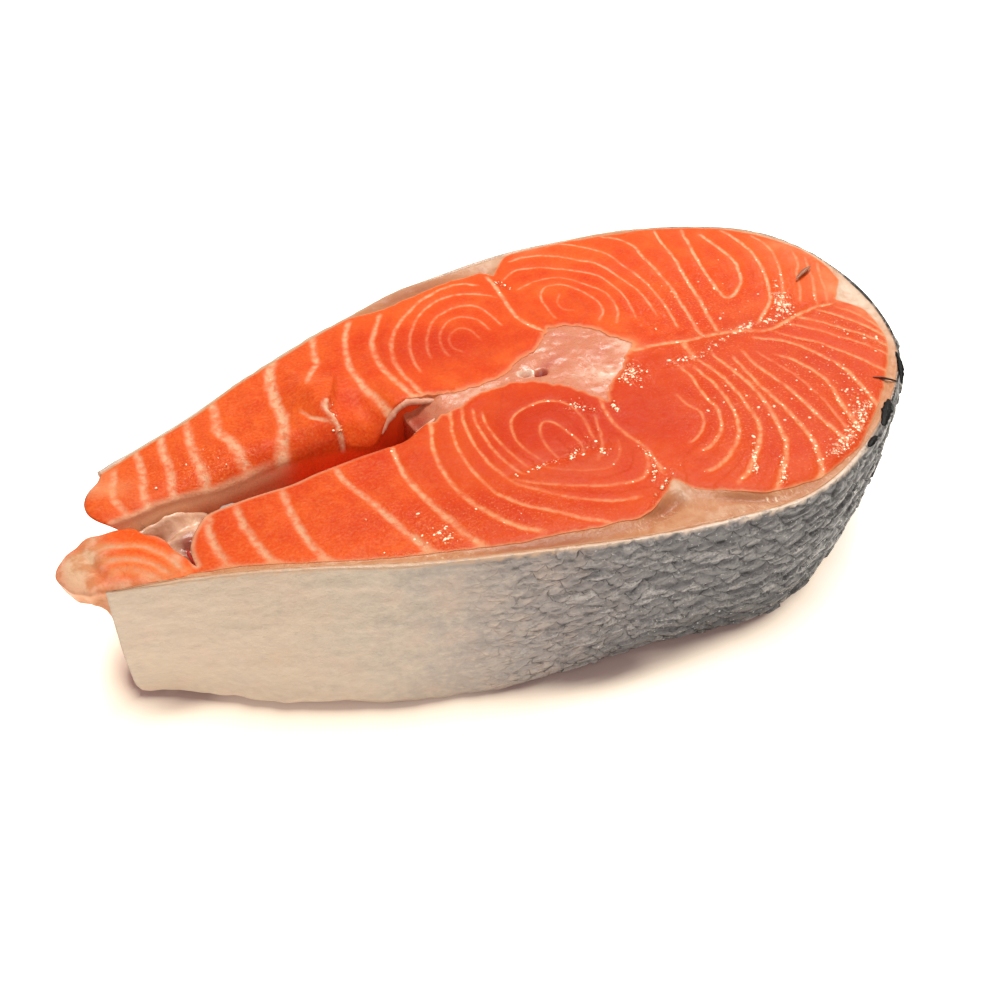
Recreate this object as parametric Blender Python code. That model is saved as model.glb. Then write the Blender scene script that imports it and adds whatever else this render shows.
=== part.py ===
"""A raw salmon steak, lying on one of its two cut faces.

The steak is a slice straight through the fish. X runs from the belly (-) to the back (+), Y runs from one
flank (-) to the other (+), and Z is up, through the slice. Lengths are in millimetres until a mesh is made.

From the outside in, the slice has its skin, a pale fat layer with a wedge on each flank, and the flesh, which
is one horseshoe: two belly flaps with the open belly between them, joined along the back. The backbone and
the tissue round it fill the middle, and a scrap of belly lining lies crumpled between the ends of the flaps.
"""

import math

import bmesh
import bpy
import numpy as np
from mathutils import Vector
from mathutils.geometry import delaunay_2d_cdt

MM = 0.001

# Driving sizes. The layers stand a gap apart, and the thin ones stop a little above the table.
THICKNESS = 34.6
SKIN = 1.1
GAP = 0.3
SKIN_FOOT = 0.4
BONE_FOOT = 0.5
STATION_STEP = 5.0
INNER_STEP = 3.2
HEIGHTS = (0.0, 4.2, 13.0, 21.0, 28.5)

# The skin's upper edge, from the near belly corner along the near flank, round the back and home again.
FLANK = (
    (-87.0, -19.3), (-71.0, -23.7), (-47.8, -32.2), (-23.2, -40.8), (3.0, -47.6), (21.8, -50.9),
    (36.0, -50.8), (50.2, -45.6), (66.5, -34.5), (78.2, -21.4), (83.6, -8.0), (85.4, 6.0), (83.2, 20.2),
    (76.3, 31.7), (64.4, 39.9), (49.3, 45.0), (34.0, 47.3), (19.8, 48.1), (3.5, 46.2), (-11.9, 42.8),
    (-43.4, 30.2), (-63.0, 20.2), (-81.0, 12.5),
)

# How far the flank's foot stands in from its upper edge, at parts of the way round.
FOOT_INSET = ((0.0, 6.0), (0.04, 0.6), (0.07, -2.8), (0.13, -3.6), (0.187, -0.8), (0.21, 1.6), (0.25, 4.0),
              (0.3, 3.6), (0.38, 5.3), (0.45, 9.0), (0.55, 9.5), (0.65, 7.0), (0.78, 4.0), (0.92, 1.0),
              (1.0, 4.0))
FLANK_BULGE = 1.6
FOOT_ROUNDING = 1.2
# The far flap and the lobe of the near one stick out above and are tucked in below, each by its own share of
# a full sideways sway at each height.
FAR_TUCK = ((0.0, 1.0), (13.0, 1.0), (21.0, 0.95), (28.5, 0.7), (THICKNESS, 0.0))
LOBE_TUCK = ((0.0, 1.0), (13.0, 1.0), (21.0, 0.7), (28.5, 0.12), (THICKNESS, 0.0))
PLAIN_TUCK = ((0.0, 1.0), (4.2, 0.85), (13.0, 0.57), (21.0, 0.33), (28.5, 0.12), (THICKNESS, 0.0))
FAR_SLIDE = 5.0
FAR_SLIDE_SHARE = 0.93

# Thickness of the fat layer on the way round, and the wedge that it sends in along each flank: its place, its
# flank, its depth, and its width towards the belly and towards the back.
FAT = ((0.0, 0.8), (0.06, 0.8), (0.12, 1.5), (0.26, 1.9), (0.33, 2.6), (0.45, 3.0), (0.5, 1.8), (0.6, 1.6),
       (0.68, 1.6), (0.76, 2.4), (0.82, 2.8), (0.9, 1.6), (1.0, 0.8))
WEDGES = ((14.3, -1, 11.5, 9.0, 14.0), (12.8, 1, 4.5, 9.0, 5.0))

# Inner outline of the flesh, in strokes that meet in corners: where each point lies at the upper face, and
# how far its foot is moved from there.
FAR_TIP = ((-81.6, 9.6, 6.8, -4.6), (-84.0, 7.0, 8.4, -3), (-85.3, 4.0, 9, -1.4), (-85.3, 1.0, 9, 0),
           (-84.2, -1.2, 8.2, 0.6), (-82.6, -2.6, 6.8, 1))
FAR_INNER = ((-78.0, -1.9, 4, 0.4), (-70.0, 0.0, 0, -1), (-60.0, 1.0, 0, -2), (-50.0, 2.8, 0, -3),
             (-43.0, 3.0, 0, -3), (-36.0, 2.6, 0, -2.5), (-30.0, 3.4, 0, -2), (-25.0, 6.0, 0, -1.5),
             (-20.6, 7.4, 0, 0))
SPINE_TOP = ((-16.0, 6.4, 0, 0), (-11.0, 5.2, 0, 0), (-5.0, 5.1, 0, 0), (1.0, 6.4, 0, 0), (5.0, 8.8, 0, 0),
             (11.0, 11.6, 0, 0), (16.0, 17.0, 0, 0))
SPINE_BACK = ((21.0, 15.2, 0, 0), (24.6, 12.4, 0, 0), (26.4, 8.5, 0, 0), (29.4, 4.2, 0, 0))
SPINE_NEAR = ((25.4, 0.4, 0, 0), (21.4, -3.6, 0, 0), (17.4, -6.6, 0, 0), (14.8, -11.0, 0, 0))
SPINE_BOTTOM = ((12.0, -6.2, 0, 0), (8.0, -1.4, 0, 0), (4.0, 1.4, 0, 0), (0.0, 2.6, 0, 0), (-7.0, 2.6, 0, 0),
                (-13.0, 0.6, 0, 0), (-19.6, -0.9, 0, 0))
NEAR_INNER = ((-25.0, -3.6, 0, 1), (-31.0, -4.6, 0, 1.5), (-40.0, -5.4, 0, 2), (-50.0, -6.6, 0, 2),
              (-60.0, -7.2, 0, 1.5), (-66.0, -8.1, 0, 1))
NEAR_END = ((-69.0, -11.0, 0, 1), (-70.8, -14.5, 0, 2), (-71.4, -17.5, -0.3, 4.6), (-71.3, -20.4, -0.9, 7.4))
LOBE_SIDE = ((-72.6, -17.0, -0.7, 4.6), (-74.2, -12.6, -0.6, 1), (-77.0, -8.2, 0, 0), (-80.0, -5.3, 1, -1),
             (-84.0, -4.0, 2, -2.4))
LOBE_TIP = ((-88.5, -4.6, 4, -1.6), (-92.4, -7.4, 7, 0.2), (-93.8, -11.4, 8, 2.8), (-92.4, -15.2, 6.5, 5.8),
            (-89.6, -17.6, 3.8, 7.4))
LOBE_FOOT = ((-87.7, -17.5, 1.9, 6.9),)
LOBE_FROM = -77.5
MOUTH_MIDDLE = -3.5
# The backbone's side that looks into the open belly.
SPINE_FRONT = ((-20.4, 2.0), (-20.8, 5.0))

# Sheets of tissue between the muscle layers, one family of nested rings in each quarter of the cut face. Each
# row: ring number, centre, reach towards belly, back, near and far, and the turn in degrees.
NEAR_BELLY = (
    (1, 1.4, -16.5, 3.6, 3.8, 6.3, 6.2, 6), (3, 1.5, -14.5, 10.6, 10.6, 14.8, 14.5, 12),
    (5, 2.0, -14.5, 17.0, 15.5, 23.5, 19.0, 18), (7, 1.0, -14.5, 23.6, 20.0, 30.0, 26.0, 12),
    (8, 0.0, -13.0, 30.0, 24.0, 38.0, 34.0, 9), (9, 0.0, -10.0, 39.8, 30.0, 52.0, 44.0, 10),
    (10, 0.0, -10.0, 53.0, 40.0, 66.0, 60.0, 2), (11, 0.0, -10.0, 61.0, 48.0, 66.0, 66.0, 2),
    (12, 0.0, -10.0, 66.8, 54.0, 70.0, 70.0, 0),
)
FAR_BELLY = (
    (1, 0.0, 22.0, 4.0, 3.6, 5.6, 5.6, -6), (3, 0.0, 22.0, 10.2, 9.2, 12.5, 12.0, -14),
    (5, -0.4, 22.0, 17.6, 14.0, 18.5, 19.5, -18), (7, -1.0, 22.0, 26.2, 22.0, 27.0, 28.0, -14),
    (8, -2.0, 20.0, 32.0, 28.0, 34.0, 40.0, -12), (9, -2.0, 18.0, 43.6, 36.0, 48.0, 60.0, -14),
    (10, -2.0, 16.0, 53.5, 44.0, 56.0, 56.0, -8), (12, -2.0, 12.0, 67.0, 58.0, 70.0, 70.0, -4),
    (14, -2.0, 10.0, 77.6, 70.0, 80.0, 80.0, 0),
)
NEAR_BACK = (
    (1, 24.0, -17.5, 4.0, 3.4, 5.5, 5.5, 0), (2, 24.0, -17.0, 7.0, 6.9, 10.5, 11.0, 0),
    (3, 24.0, -12.0, 9.0, 11.3, 19.5, 13.0, 0), (5, 24.0, -15.0, 12.0, 17.0, 26.2, 18.0, 0),
    (6, 24.0, -20.0, 13.0, 18.8, 27.0, 26.0, 0), (7, 24.0, -27.0, 15.0, 22.5, 27.0, 40.0, 0),
    (8, 24.0, -34.0, 18.0, 27.5, 29.0, 57.0, 0), (9, 24.0, -32.0, 21.0, 32.5, 26.0, 44.0, 0),
    (11, 24.0, -25.0, 25.0, 40.3, 35.0, 33.0, 0), (12, 24.0, -30.0, 28.0, 46.5, 38.0, 43.0, 0),
    (14, 24.0, -28.0, 34.0, 55.0, 42.0, 41.0, 0), (15, 24.0, -26.0, 37.0, 57.6, 44.0, 41.0, 0),
)
FAR_BACK = (
    (1, 25.0, 25.0, 5.2, 5.6, 6.0, 6.7, 0), (2, 25.0, 24.5, 8.2, 10.0, 9.0, 11.8, 0),
    (3, 25.0, 22.0, 10.5, 14.0, 20.0, 19.0, 0), (5, 25.0, 22.0, 14.0, 20.6, 52.0, 26.0, 0),
    (6, 25.0, 37.0, 18.0, 24.7, 54.0, 12.5, 0), (7, 25.0, 39.0, 22.0, 31.0, 53.0, 15.0, 0),
    (8, 25.0, 36.0, 26.0, 37.0, 46.0, 15.0, 0), (9, 25.0, 28.0, 30.0, 42.0, 30.0, 20.0, 0),
    (10, 25.0, 27.0, 34.0, 47.5, 35.0, 20.0, 0), (12, 25.0, 26.0, 42.0, 56.0, 38.0, 28.0, 0),
)
# The sheet that parts belly from back, as (y, x), and the one that parts the near side from the far side.
ACROSS = ((-40.0, 15.0), (-25.0, 14.0), (-12.0, 13.8), (0.0, 14.0), (20.0, 13.6), (26.0, 12.2), (42.0, 13.0))
ALONG = ((-95.0, -3.5), (-66.0, -3.5), (-50.0, -2.0), (-25.0, 1.0), (-12.0, 3.4), (4.0, 5.0), (28.0, 3.6),
         (44.0, 0.4), (57.0, -1.5), (70.0, 0.0), (85.0, 0.5))

# The upper face: how far its rim sits below it, how wide that shoulder is, and how far the face sinks
# towards the ends of the flaps.
FACE_RISE = 0.6
SHOULDER_DROP = 0.7
SHOULDER_WIDTH = 1.8
SKIN_DROP = 0.2
LOBE_DROP = 2.4
LOBE_DROP_FROM = -74.0
FLAP_DROP = 0.3
FLAP_DROP_FROM = -60.0
DROP_LENGTH = 20.0
# Slow waves of the face, from a hand's cut: height, turns along X and Y, and phase.
WAVES = ((0.35, 0.052, 0.07, 0.9), (0.2, 0.13, -0.09, 0.0), (0.12, 0.17, 0.31, 2.0))
# Mounds and hollows of the face: height, place, half length, half width, turn in degrees. They are a torn
# flake standing up by the hollow that it came from, a crease, and the muscle round the near core.
FACE_MOUNDS = ((2.4, -35.5, 16.0, 4.0, 9.0, 9), (-2.0, -28.0, 11.0, 3.6, 8.0, 9),
               (-0.6, 0.0, -22.0, 9.0, 1.3, 0), (0.5, 0.0, -12.0, 9.0, 8.0, 0))
# The backbone's rough cut: the height of its lumps, the points' distance, and its two pits.
BONE_LUMP = 0.45
BONE_STEP = 2.6
BONE_PITS = ((-1.6, 4.2, 4.9, 1.6, 1.1, 0), (-1.4, 8.0, 4.0, 1.5, 1.3, 0))

# Relief of the muscle layers: how deep the sheets lie, and how far apart the points are.
GROOVE = 0.45
RIDGE_STEP = 3.5
FILL_STEP = 6.5
CLEAR_OF_EDGE = 2.6
SHEETS_APART = 1.7
CRESTS_APART = 1.1

# The belly lining in the mouth of the open belly: its outline, its underside, and its folds as mounds on a
# level sheet, each with its height, place, half length, half width and turn in degrees.
LINING = ((-61.5, -0.5), (-68.0, -1.2), (-74.0, -1.8), (-79.0, -2.9), (-82.0, -3.5), (-79.6, -4.7),
          (-76.4, -7.6), (-73.9, -11.2), (-72.3, -13.2), (-70.8, -12.2), (-68.2, -9.3), (-65.6, -7.3),
          (-61.5, -6.2))
LINING_UNDERSIDE = 20.0
LINING_SHEET = 29.0
LINING_STEP = 1.5
LINING_FOLDS = ((3.2, -73.0, -2.6, 8.0, 1.1, 12), (3.4, -70.0, -7.6, 3.4, 2.6, 40),
                (1.6, -78.0, -5.2, 3.0, 1.0, -40), (-1.8, -75.0, -4.8, 2.4, 1.2, 10),
                (-6.0, -60.0, -3.0, 4.5, 6.0, 0))


# ---------------------------------------------------------------- curves

def smooth(rows, step):
    """Points about a step apart on a smooth curve through the rows, its two ends included."""
    knots = np.array(rows, float)
    padded = np.vstack([2 * knots[0] - knots[1], knots, 2 * knots[-1] - knots[-2]])
    fine = [knots[:1]]
    for a, b, c, d in zip(padded, padded[1:], padded[2:], padded[3:]):
        t = np.linspace(0, 1, 25)[1:, None]
        bend = (2 * a - 5 * b + 4 * c - d) * t**2 + (3 * b - 3 * c + d - a) * t**3
        fine.append(b + 0.5 * ((c - a) * t + bend))
    fine = np.vstack(fine)
    along = run_length(fine)
    count = max(2, round(along[-1] / step) + 1)
    return resample(fine, along, np.linspace(0, along[-1], count))


def run_length(path):
    """How far along a path each of its points is."""
    return np.concatenate([[0], np.cumsum(np.hypot(*np.diff(path[:, :2], axis=0).T))])


def resample(path, along, at):
    """The path's columns at other lengths along it."""
    return np.stack([np.interp(at, along, column) for column in path.T], 1)


def outward(path, closed=False):
    """The sideways direction at each point of a path that runs anticlockwise."""
    run = np.roll(path, -1, 0) - np.roll(path, 1, 0) if closed else np.gradient(path, axis=0)
    side = np.stack([run[:, 1], -run[:, 0]], 1)
    return side / np.linalg.norm(side, axis=1, keepdims=True)


def ease(table, at):
    """A value read from a short table of (where, value), with soft turns between its rows."""
    where, value = np.array(table, float).T
    nearby = np.linspace(-0.02, 0.02, 9)
    return np.mean([np.interp(at + shift, where, value) for shift in nearby], 0)


def ring(rows, number, turn):
    """Points of one ring, its sizes read between the rows of its family."""
    table = np.array(rows, float)
    mid_x, mid_y, belly, back, near, far, tilt = [np.interp(number, table[:, 0], c) for c in table.T[1:]]
    across = np.where(np.cos(turn) > 0, back, belly) * np.cos(turn)
    up = np.where(np.sin(turn) > 0, far, near) * np.sin(turn)
    lean = math.radians(tilt)
    return np.stack([mid_x + across * math.cos(lean) - up * math.sin(lean),
                     mid_y + across * math.sin(lean) + up * math.cos(lean)], 1)


def inside(points, outline):
    """Which of the points lie inside a closed outline."""
    x, y = points[:, :1], points[:, 1:2]
    ax, ay = outline[:, 0], outline[:, 1]
    bx, by = np.roll(ax, -1), np.roll(ay, -1)
    crosses = (ay > y) != (by > y)
    where = ax + (y - ay) * (bx - ax) / np.where(by == ay, 1, by - ay)
    return (crosses & (x < where)).sum(1) % 2 == 1


def distance(points, outline):
    """How far each point is from a closed outline."""
    best = np.full(len(points), np.inf)
    for a, b in zip(outline, np.roll(outline, -1, 0)):
        run = b - a
        share = np.clip(((points - a) @ run) / max(run @ run, 1e-9), 0, 1)
        best = np.minimum(best, np.linalg.norm(points - a - share[:, None] * run, axis=1))
    return best


def grid(outline, step, clear):
    """Points of a square grid that lie inside an outline, and clear of it."""
    low, high = outline.min(0), outline.max(0)
    x, y = np.meshgrid(np.arange(low[0], high[0], step), np.arange(low[1], high[1], step))
    points = np.column_stack([x.ravel(), y.ravel()])
    points = points[inside(points, outline)]
    return points[distance(points, outline) > clear]


# ---------------------------------------------------------------- the slice

class Flank:
    """The outer wall: stations along the skin's upper edge, and where each stands at any depth and height."""

    def __init__(self):
        edge = smooth(FLANK, STATION_STEP / 2)
        side = outward(edge)
        share = np.linspace(0, 1, len(edge))
        wedge = sum(self.wedge(edge, *row) for row in WEDGES)
        keep = (np.arange(len(edge)) % 2 == 0) | (wedge > 0.5) | (share == 1)
        self.edge, self.side = edge[keep], side[keep]
        self.slide = FAR_SLIDE * np.clip((share[keep] - FAR_SLIDE_SHARE) / (1 - FAR_SLIDE_SHARE), 0, 1)
        self.inset = ease(FOOT_INSET, share[keep])
        self.fat = ease(FAT, share[keep]) + wedge[keep]

    @staticmethod
    def wedge(edge, x, flank, depth, to_belly, to_back):
        """Extra depth of the fat where it reaches in between the belly muscle and the back muscle."""
        off = edge[:, 0] - x
        rise = np.clip(1 - np.abs(off) / np.where(off < 0, to_belly, to_back), 0, 1)
        return np.where(np.sign(edge[:, 1]) == flank, depth * rise**1.5, 0)

    def at(self, depth, height):
        """The wall at one height, moved in from the skin's outside by a depth."""
        bulge = FLANK_BULGE * math.sin(math.pi * min(1, height / THICKNESS))
        foot = FOOT_ROUNDING if height == 0 else 0
        out = bulge - self.inset * (1 - height / THICKNESS)**1.2 - foot - depth
        back = self.slide * share_at(FAR_TUCK, height)
        onward = np.column_stack([-self.side[:, 1], self.side[:, 0]])
        return self.edge + self.side * np.reshape(out, (-1, 1)) - onward * back[:, None]


def share_at(table, height):
    """How much of a piece's sideways sway it has at a height."""
    return np.interp(height, *np.array(table).T)


def mound(x, y, height, at_x, at_y, half_length, half_width, turn):
    """A smooth mound, or a hollow if its height is below nought, turned by some degrees."""
    c, s = math.cos(math.radians(turn)), math.sin(math.radians(turn))
    along = ((x - at_x) * c + (y - at_y) * s) / half_length
    across = ((y - at_y) * c - (x - at_x) * s) / half_width
    return height * np.exp(-(along**2 + across**2))


def face_height(x, y):
    """Height of the upper cut face, before its grooves."""
    z = THICKNESS + FACE_RISE + sum(h * np.sin(kx * x + ky * y + phase) for h, kx, ky, phase in WAVES)
    lobe = np.clip((LOBE_DROP_FROM - x) / DROP_LENGTH, 0, 1) * (y < MOUTH_MIDDLE)
    flap = np.clip((FLAP_DROP_FROM - x) / DROP_LENGTH, 0, 1)
    return z - LOBE_DROP * lobe**1.5 - FLAP_DROP * flap + sum(mound(x, y, *row) for row in FACE_MOUNDS)


def rim_height(x, y):
    return face_height(x, y) - SHOULDER_DROP


def quarter(points):
    """Which ring family a point belongs to: near belly 0, far belly 1, near back 2, far back 3."""
    back = points[:, 0] > np.interp(points[:, 1], *np.array(ACROSS).T)
    far = points[:, 1] > np.interp(points[:, 0], *np.array(ALONG).T)
    return 2 * back + far


def rings(first):
    """The rings from a first number on, each as the points of it that lie in its own quarter."""
    found = []
    for home, rows in enumerate((NEAR_BELLY, FAR_BELLY, NEAR_BACK, FAR_BACK)):
        start = math.pi if home >= 2 else 0
        for number in np.arange(first, rows[-1][0] + 0.1):
            fine = ring(rows, number, start + np.linspace(0, 2 * math.pi, 721))
            along = run_length(fine)
            count = max(5, round(along[-1] / RIDGE_STEP))
            points = resample(fine, along, np.linspace(0, along[-1], count, endpoint=False))
            found.append(points[quarter(points) == home])
    return found


def thin_out(points, apart, before):
    """The points that aren't too near one placed before them."""
    placed, fresh = list(before), []
    for point in points:
        if all((point[0] - x)**2 + (point[1] - y)**2 > apart**2 for x, y in placed):
            placed.append(point)
            fresh.append(point)
    return np.array(fresh).reshape(-1, 2)


# ---------------------------------------------------------------- meshes

def cap(outline, within, links=()):
    """Triangles over a closed outline and the points within it, as numbers into the two put together."""
    points = [Vector(p) for p in np.vstack([outline, within.reshape(-1, 2)])]
    edges = [(i, (i + 1) % len(outline)) for i in range(len(outline))]
    edges += [(len(outline) + a, len(outline) + b) for a, b in links]
    _, _, triangles, before, _, _ = delaunay_2d_cdt(points, edges, [], 1, 1e-6)
    return [[before[corner][0] for corner in triangle] for triangle in triangles]


def mesh_object(name, points, faces, colour, roughness):
    """One closed solid, its points given in millimetres."""
    body = bmesh.new()
    corners = [body.verts.new(Vector(p) * MM) for p in points]
    for face in faces:
        body.faces.new([corners[i] for i in face])
    bmesh.ops.recalc_face_normals(body, faces=body.faces)
    mesh = bpy.data.meshes.new(name)
    body.to_mesh(mesh)
    body.free()
    mesh.shade_smooth()
    mesh.set_sharp_from_angle(angle=math.radians(40))
    material = bpy.data.materials.new(name)
    material.use_nodes = True
    shader = material.node_tree.nodes["Principled BSDF"]
    shader.inputs["Base Color"].default_value = (*colour, 1)
    shader.inputs["Roughness"].default_value = roughness
    mesh.materials.append(material)
    made = bpy.data.objects.new(name, mesh)
    bpy.context.scene.collection.objects.link(made)
    return made


def walls(count, levels):
    """The side faces between closed loops one above the other, each side cut into the same triangles."""
    faces = []
    for level in range(levels - 1):
        low, high = level * count, (level + 1) * count
        for i in range(count):
            j = (i + 1) % count
            faces += [(low + i, low + j, high + j), (low + i, high + j, high + i)]
    return faces


def stack(loops, within, within_z, links=()):
    """A solid from closed loops, lowest first, with points of its own on its upper face."""
    count = len(loops[0])
    points = [p for loop in loops for p in loop]
    faces = walls(count, len(loops))
    faces += [triangle[::-1] for triangle in cap(loops[0][:, :2], np.zeros((0, 2)))]
    top_loop = len(points) - count
    points += [(x, y, z) for (x, y), z in zip(within, within_z)]
    faces += [[top_loop + i for i in triangle] for triangle in cap(loops[-1][:, :2], within, links)]
    return points, faces


# ---------------------------------------------------------------- the pieces

def shell(flank, outer_depth, inner_depth, rim_drop):
    """A layer that runs round the slice between two depths."""
    loops = []
    for height in (*HEIGHTS, THICKNESS):
        path = np.vstack([flank.at(outer_depth, height), flank.at(inner_depth, height)[::-1]])
        z = np.full(len(path), max(height, SKIN_FOOT))
        loops.append(np.column_stack([path, z]))
    loops[-1][:, 2] = rim_height(*loops[-1][:, :2].T) - rim_drop
    count = len(flank.edge)
    points = [p for loop in loops for p in loop]
    faces = walls(2 * count, len(loops))
    top = (len(loops) - 1) * 2 * count
    for i in range(count - 1):
        a, b, c, d = i, i + 1, 2 * count - 2 - i, 2 * count - 1 - i
        faces += [(c, b, a), (d, c, a), (top + a, top + b, top + c), (top + a, top + c, top + d)]
    return points, faces


def skin(flank):
    points, faces = shell(flank, 0, SKIN, SKIN_DROP)
    return mesh_object("skin", points, faces, (0.42, 0.4, 0.38), 0.35)


def fat_layer(flank):
    points, faces = shell(flank, SKIN + GAP, SKIN + GAP + flank.fat, 0)
    return mesh_object("fat_layer", points, faces, (0.62, 0.4, 0.25), 0.4)


def spine_outline():
    """The flesh's edge round the backbone, from the far side of the open belly to its near side."""
    strokes = ((FAR_INNER[-1], *SPINE_TOP), (SPINE_TOP[-1], *SPINE_BACK), (SPINE_BACK[-1], *SPINE_NEAR),
               (SPINE_NEAR[-1], *SPINE_BOTTOM))
    return np.vstack([np.array([FAR_INNER[-1]]), *[smooth(stroke, INNER_STEP)[1:] for stroke in strokes]])


def inner_outline(flank_end, flank_start):
    """The flesh's edge on the side of the open belly, from the far flank's end to the near flank's start."""
    before = ((flank_end, *FAR_TIP), (FAR_TIP[-1], *FAR_INNER))
    after = ((SPINE_BOTTOM[-1], *NEAR_INNER, *NEAR_END), (NEAR_END[-1], *LOBE_SIDE, *LOBE_TIP),
             (LOBE_TIP[-1], *LOBE_FOOT), (LOBE_FOOT[-1], flank_start))
    path = [smooth(stroke, INNER_STEP)[1:] for stroke in before]
    path.append(spine_outline()[1:])
    path += [smooth(stroke, INNER_STEP)[1:] for stroke in after]
    return np.vstack(path)[:-1]


def flesh_loops(flank):
    """The flesh's outline at each height, the upper face's rim last."""
    depth = SKIN + GAP + flank.fat + GAP
    upper, lowest = flank.at(depth, THICKNESS), flank.at(depth, 0)
    inner = inner_outline(*[(*upper[i], *(lowest[i] - upper[i])) for i in (-1, 0)])
    ends = inner[:, 0] < LOBE_FROM
    far_end = ends & (inner[:, 1] > MOUTH_MIDDLE)
    loops = []
    for height in (*HEIGHTS, THICKNESS):
        sway = np.full(len(inner), share_at(PLAIN_TUCK, height))
        sway[ends] = share_at(LOBE_TUCK, height)
        sway[far_end] = share_at(FAR_TUCK, height)
        path = np.vstack([flank.at(depth, height), inner[:, :2] + inner[:, 2:] * sway[:, None]])
        loops.append(np.column_stack([path, np.full(len(path), height)]))
    loops[-1][:, 2] = rim_height(*loops[-1][:, :2].T)
    return loops


def flesh(flank):
    loops = flesh_loops(flank)
    outline = loops[-1][:, :2]
    shoulder = outline - outward(outline, closed=True) * SHOULDER_WIDTH
    shoulder = shoulder[inside(shoulder, outline)]
    shoulder = shoulder[distance(shoulder, outline) > 0.8 * SHOULDER_WIDTH]
    within = thin_out(shoulder, SHEETS_APART, [])
    low, links = [], []
    for first, apart, is_sheet in ((1, SHEETS_APART, True), (1.5, CRESTS_APART, False)):
        for points in rings(first):
            points = points[inside(points, outline)]
            points = points[distance(points, outline) > CLEAR_OF_EDGE]
            points = thin_out(points, apart, within)
            start = len(within)
            within = np.vstack([within, points])
            if is_sheet:
                low += range(start, len(within))
                steps = np.hypot(*np.diff(points, axis=0).T)
                links += [(start + i, start + i + 1) for i in np.flatnonzero(steps < 1.4 * RIDGE_STEP)]
    fill = grid(outline, FILL_STEP, CLEAR_OF_EDGE)
    within = np.vstack([within, thin_out(fill, 0.6 * FILL_STEP, within)])
    z = face_height(*within.T)
    z[low] -= GROOVE
    points, faces = stack(loops, within, z, links)
    return mesh_object("flesh", points, faces, (0.83, 0.2, 0.06), 0.3)


def bone_height(x, y):
    lumps = np.sin(0.8 * x + 0.5 * y) * np.cos(0.7 * y - 0.3 * x) + 0.5 * np.sin(1.9 * x)
    return rim_height(x, y) + BONE_LUMP * lumps + sum(mound(x, y, *pit) for pit in BONE_PITS)


def backbone():
    path = np.vstack([spine_outline()[:, :2], SPINE_FRONT])[::-1]
    outline = path - outward(path, closed=True) * GAP * 1.15
    within = grid(outline, BONE_STEP, 1.0)
    loops = [np.column_stack([outline, np.full(len(outline), z)]) for z in (BONE_FOOT, THICKNESS / 2)]
    loops.append(np.column_stack([outline, bone_height(*outline.T)]))
    points, faces = stack(loops, within, bone_height(*within.T))
    return mesh_object("backbone", points, faces, (0.8, 0.5, 0.38), 0.35)


def lining_height(x, y):
    return LINING_SHEET + sum(mound(x, y, *fold) for fold in LINING_FOLDS)


def lining():
    outline = smooth((*LINING, LINING[0]), LINING_STEP * 1.2)[:-1]
    within = grid(outline, LINING_STEP, 0.6)
    underside = np.column_stack([outline, np.full(len(outline), LINING_UNDERSIDE)])
    rim = np.column_stack([outline, lining_height(*outline.T)])
    points, faces = stack([underside, rim], within, lining_height(*within.T))
    return mesh_object("belly_lining", points, faces, (0.5, 0.34, 0.27), 0.3)


def clear_scene():
    for old in list(bpy.data.objects):
        bpy.data.objects.remove(old, do_unlink=True)


def stand_on_origin(pieces):
    """Moves the steak sideways so that the origin is under the middle of its box, on the table."""
    corners = np.vstack([[v.co[:] for v in piece.data.vertices] for piece in pieces])
    middle = (corners.min(0) + corners.max(0)) / 2
    for piece in pieces:
        for vertex in piece.data.vertices:
            vertex.co.x -= middle[0]
            vertex.co.y -= middle[1]


def main():
    clear_scene()
    flank = Flank()
    pieces = [flesh(flank), fat_layer(flank), skin(flank), backbone(), lining()]
    stand_on_origin(pieces)


if __name__ == "__main__":
    main()
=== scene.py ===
"""The looks of a raw salmon steak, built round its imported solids.

Lengths are in millimetres in the slice's own plan, as in the part's source, until a mesh is made: X runs from
the belly to the back, Y from the near flank to the far one, and Z is up through the slice. The curves and
their named values repeat those of the solids, with closer points.
"""

import math

import bmesh
import bpy
import numpy as np
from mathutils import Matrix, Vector, noise
from mathutils.geometry import delaunay_2d_cdt


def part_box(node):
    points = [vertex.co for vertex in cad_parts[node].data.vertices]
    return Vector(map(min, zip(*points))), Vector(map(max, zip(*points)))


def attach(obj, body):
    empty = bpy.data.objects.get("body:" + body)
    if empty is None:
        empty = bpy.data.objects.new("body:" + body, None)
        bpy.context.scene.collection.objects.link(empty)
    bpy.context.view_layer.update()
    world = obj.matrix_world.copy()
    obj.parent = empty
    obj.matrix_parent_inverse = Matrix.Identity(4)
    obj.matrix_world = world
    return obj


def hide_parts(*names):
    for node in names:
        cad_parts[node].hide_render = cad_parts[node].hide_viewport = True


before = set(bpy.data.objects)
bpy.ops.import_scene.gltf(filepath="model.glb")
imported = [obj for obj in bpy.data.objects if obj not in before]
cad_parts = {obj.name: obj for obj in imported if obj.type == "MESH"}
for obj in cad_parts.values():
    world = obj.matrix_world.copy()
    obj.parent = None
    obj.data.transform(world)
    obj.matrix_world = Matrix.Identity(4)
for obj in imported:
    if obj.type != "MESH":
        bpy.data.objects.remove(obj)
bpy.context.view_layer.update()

MM = 0.001
# The far, dorsal corner of the skin's box in the plan, which ties the plan to the frame.
SKIN_HIGH = (85.4, 48.3)
# The photograph's frame in pixels, and the camera that took it, in the plan.
FRAME = 1000
CAMERA_PLACE = (-96.14, -191.78, 199.34)
CAMERA_AIM = (0.32300, 0.66871, -0.66970)
LENS = 48.6
SENSOR = 36.0

# ---------------------------------------------------------------- values shared with the solids

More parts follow.
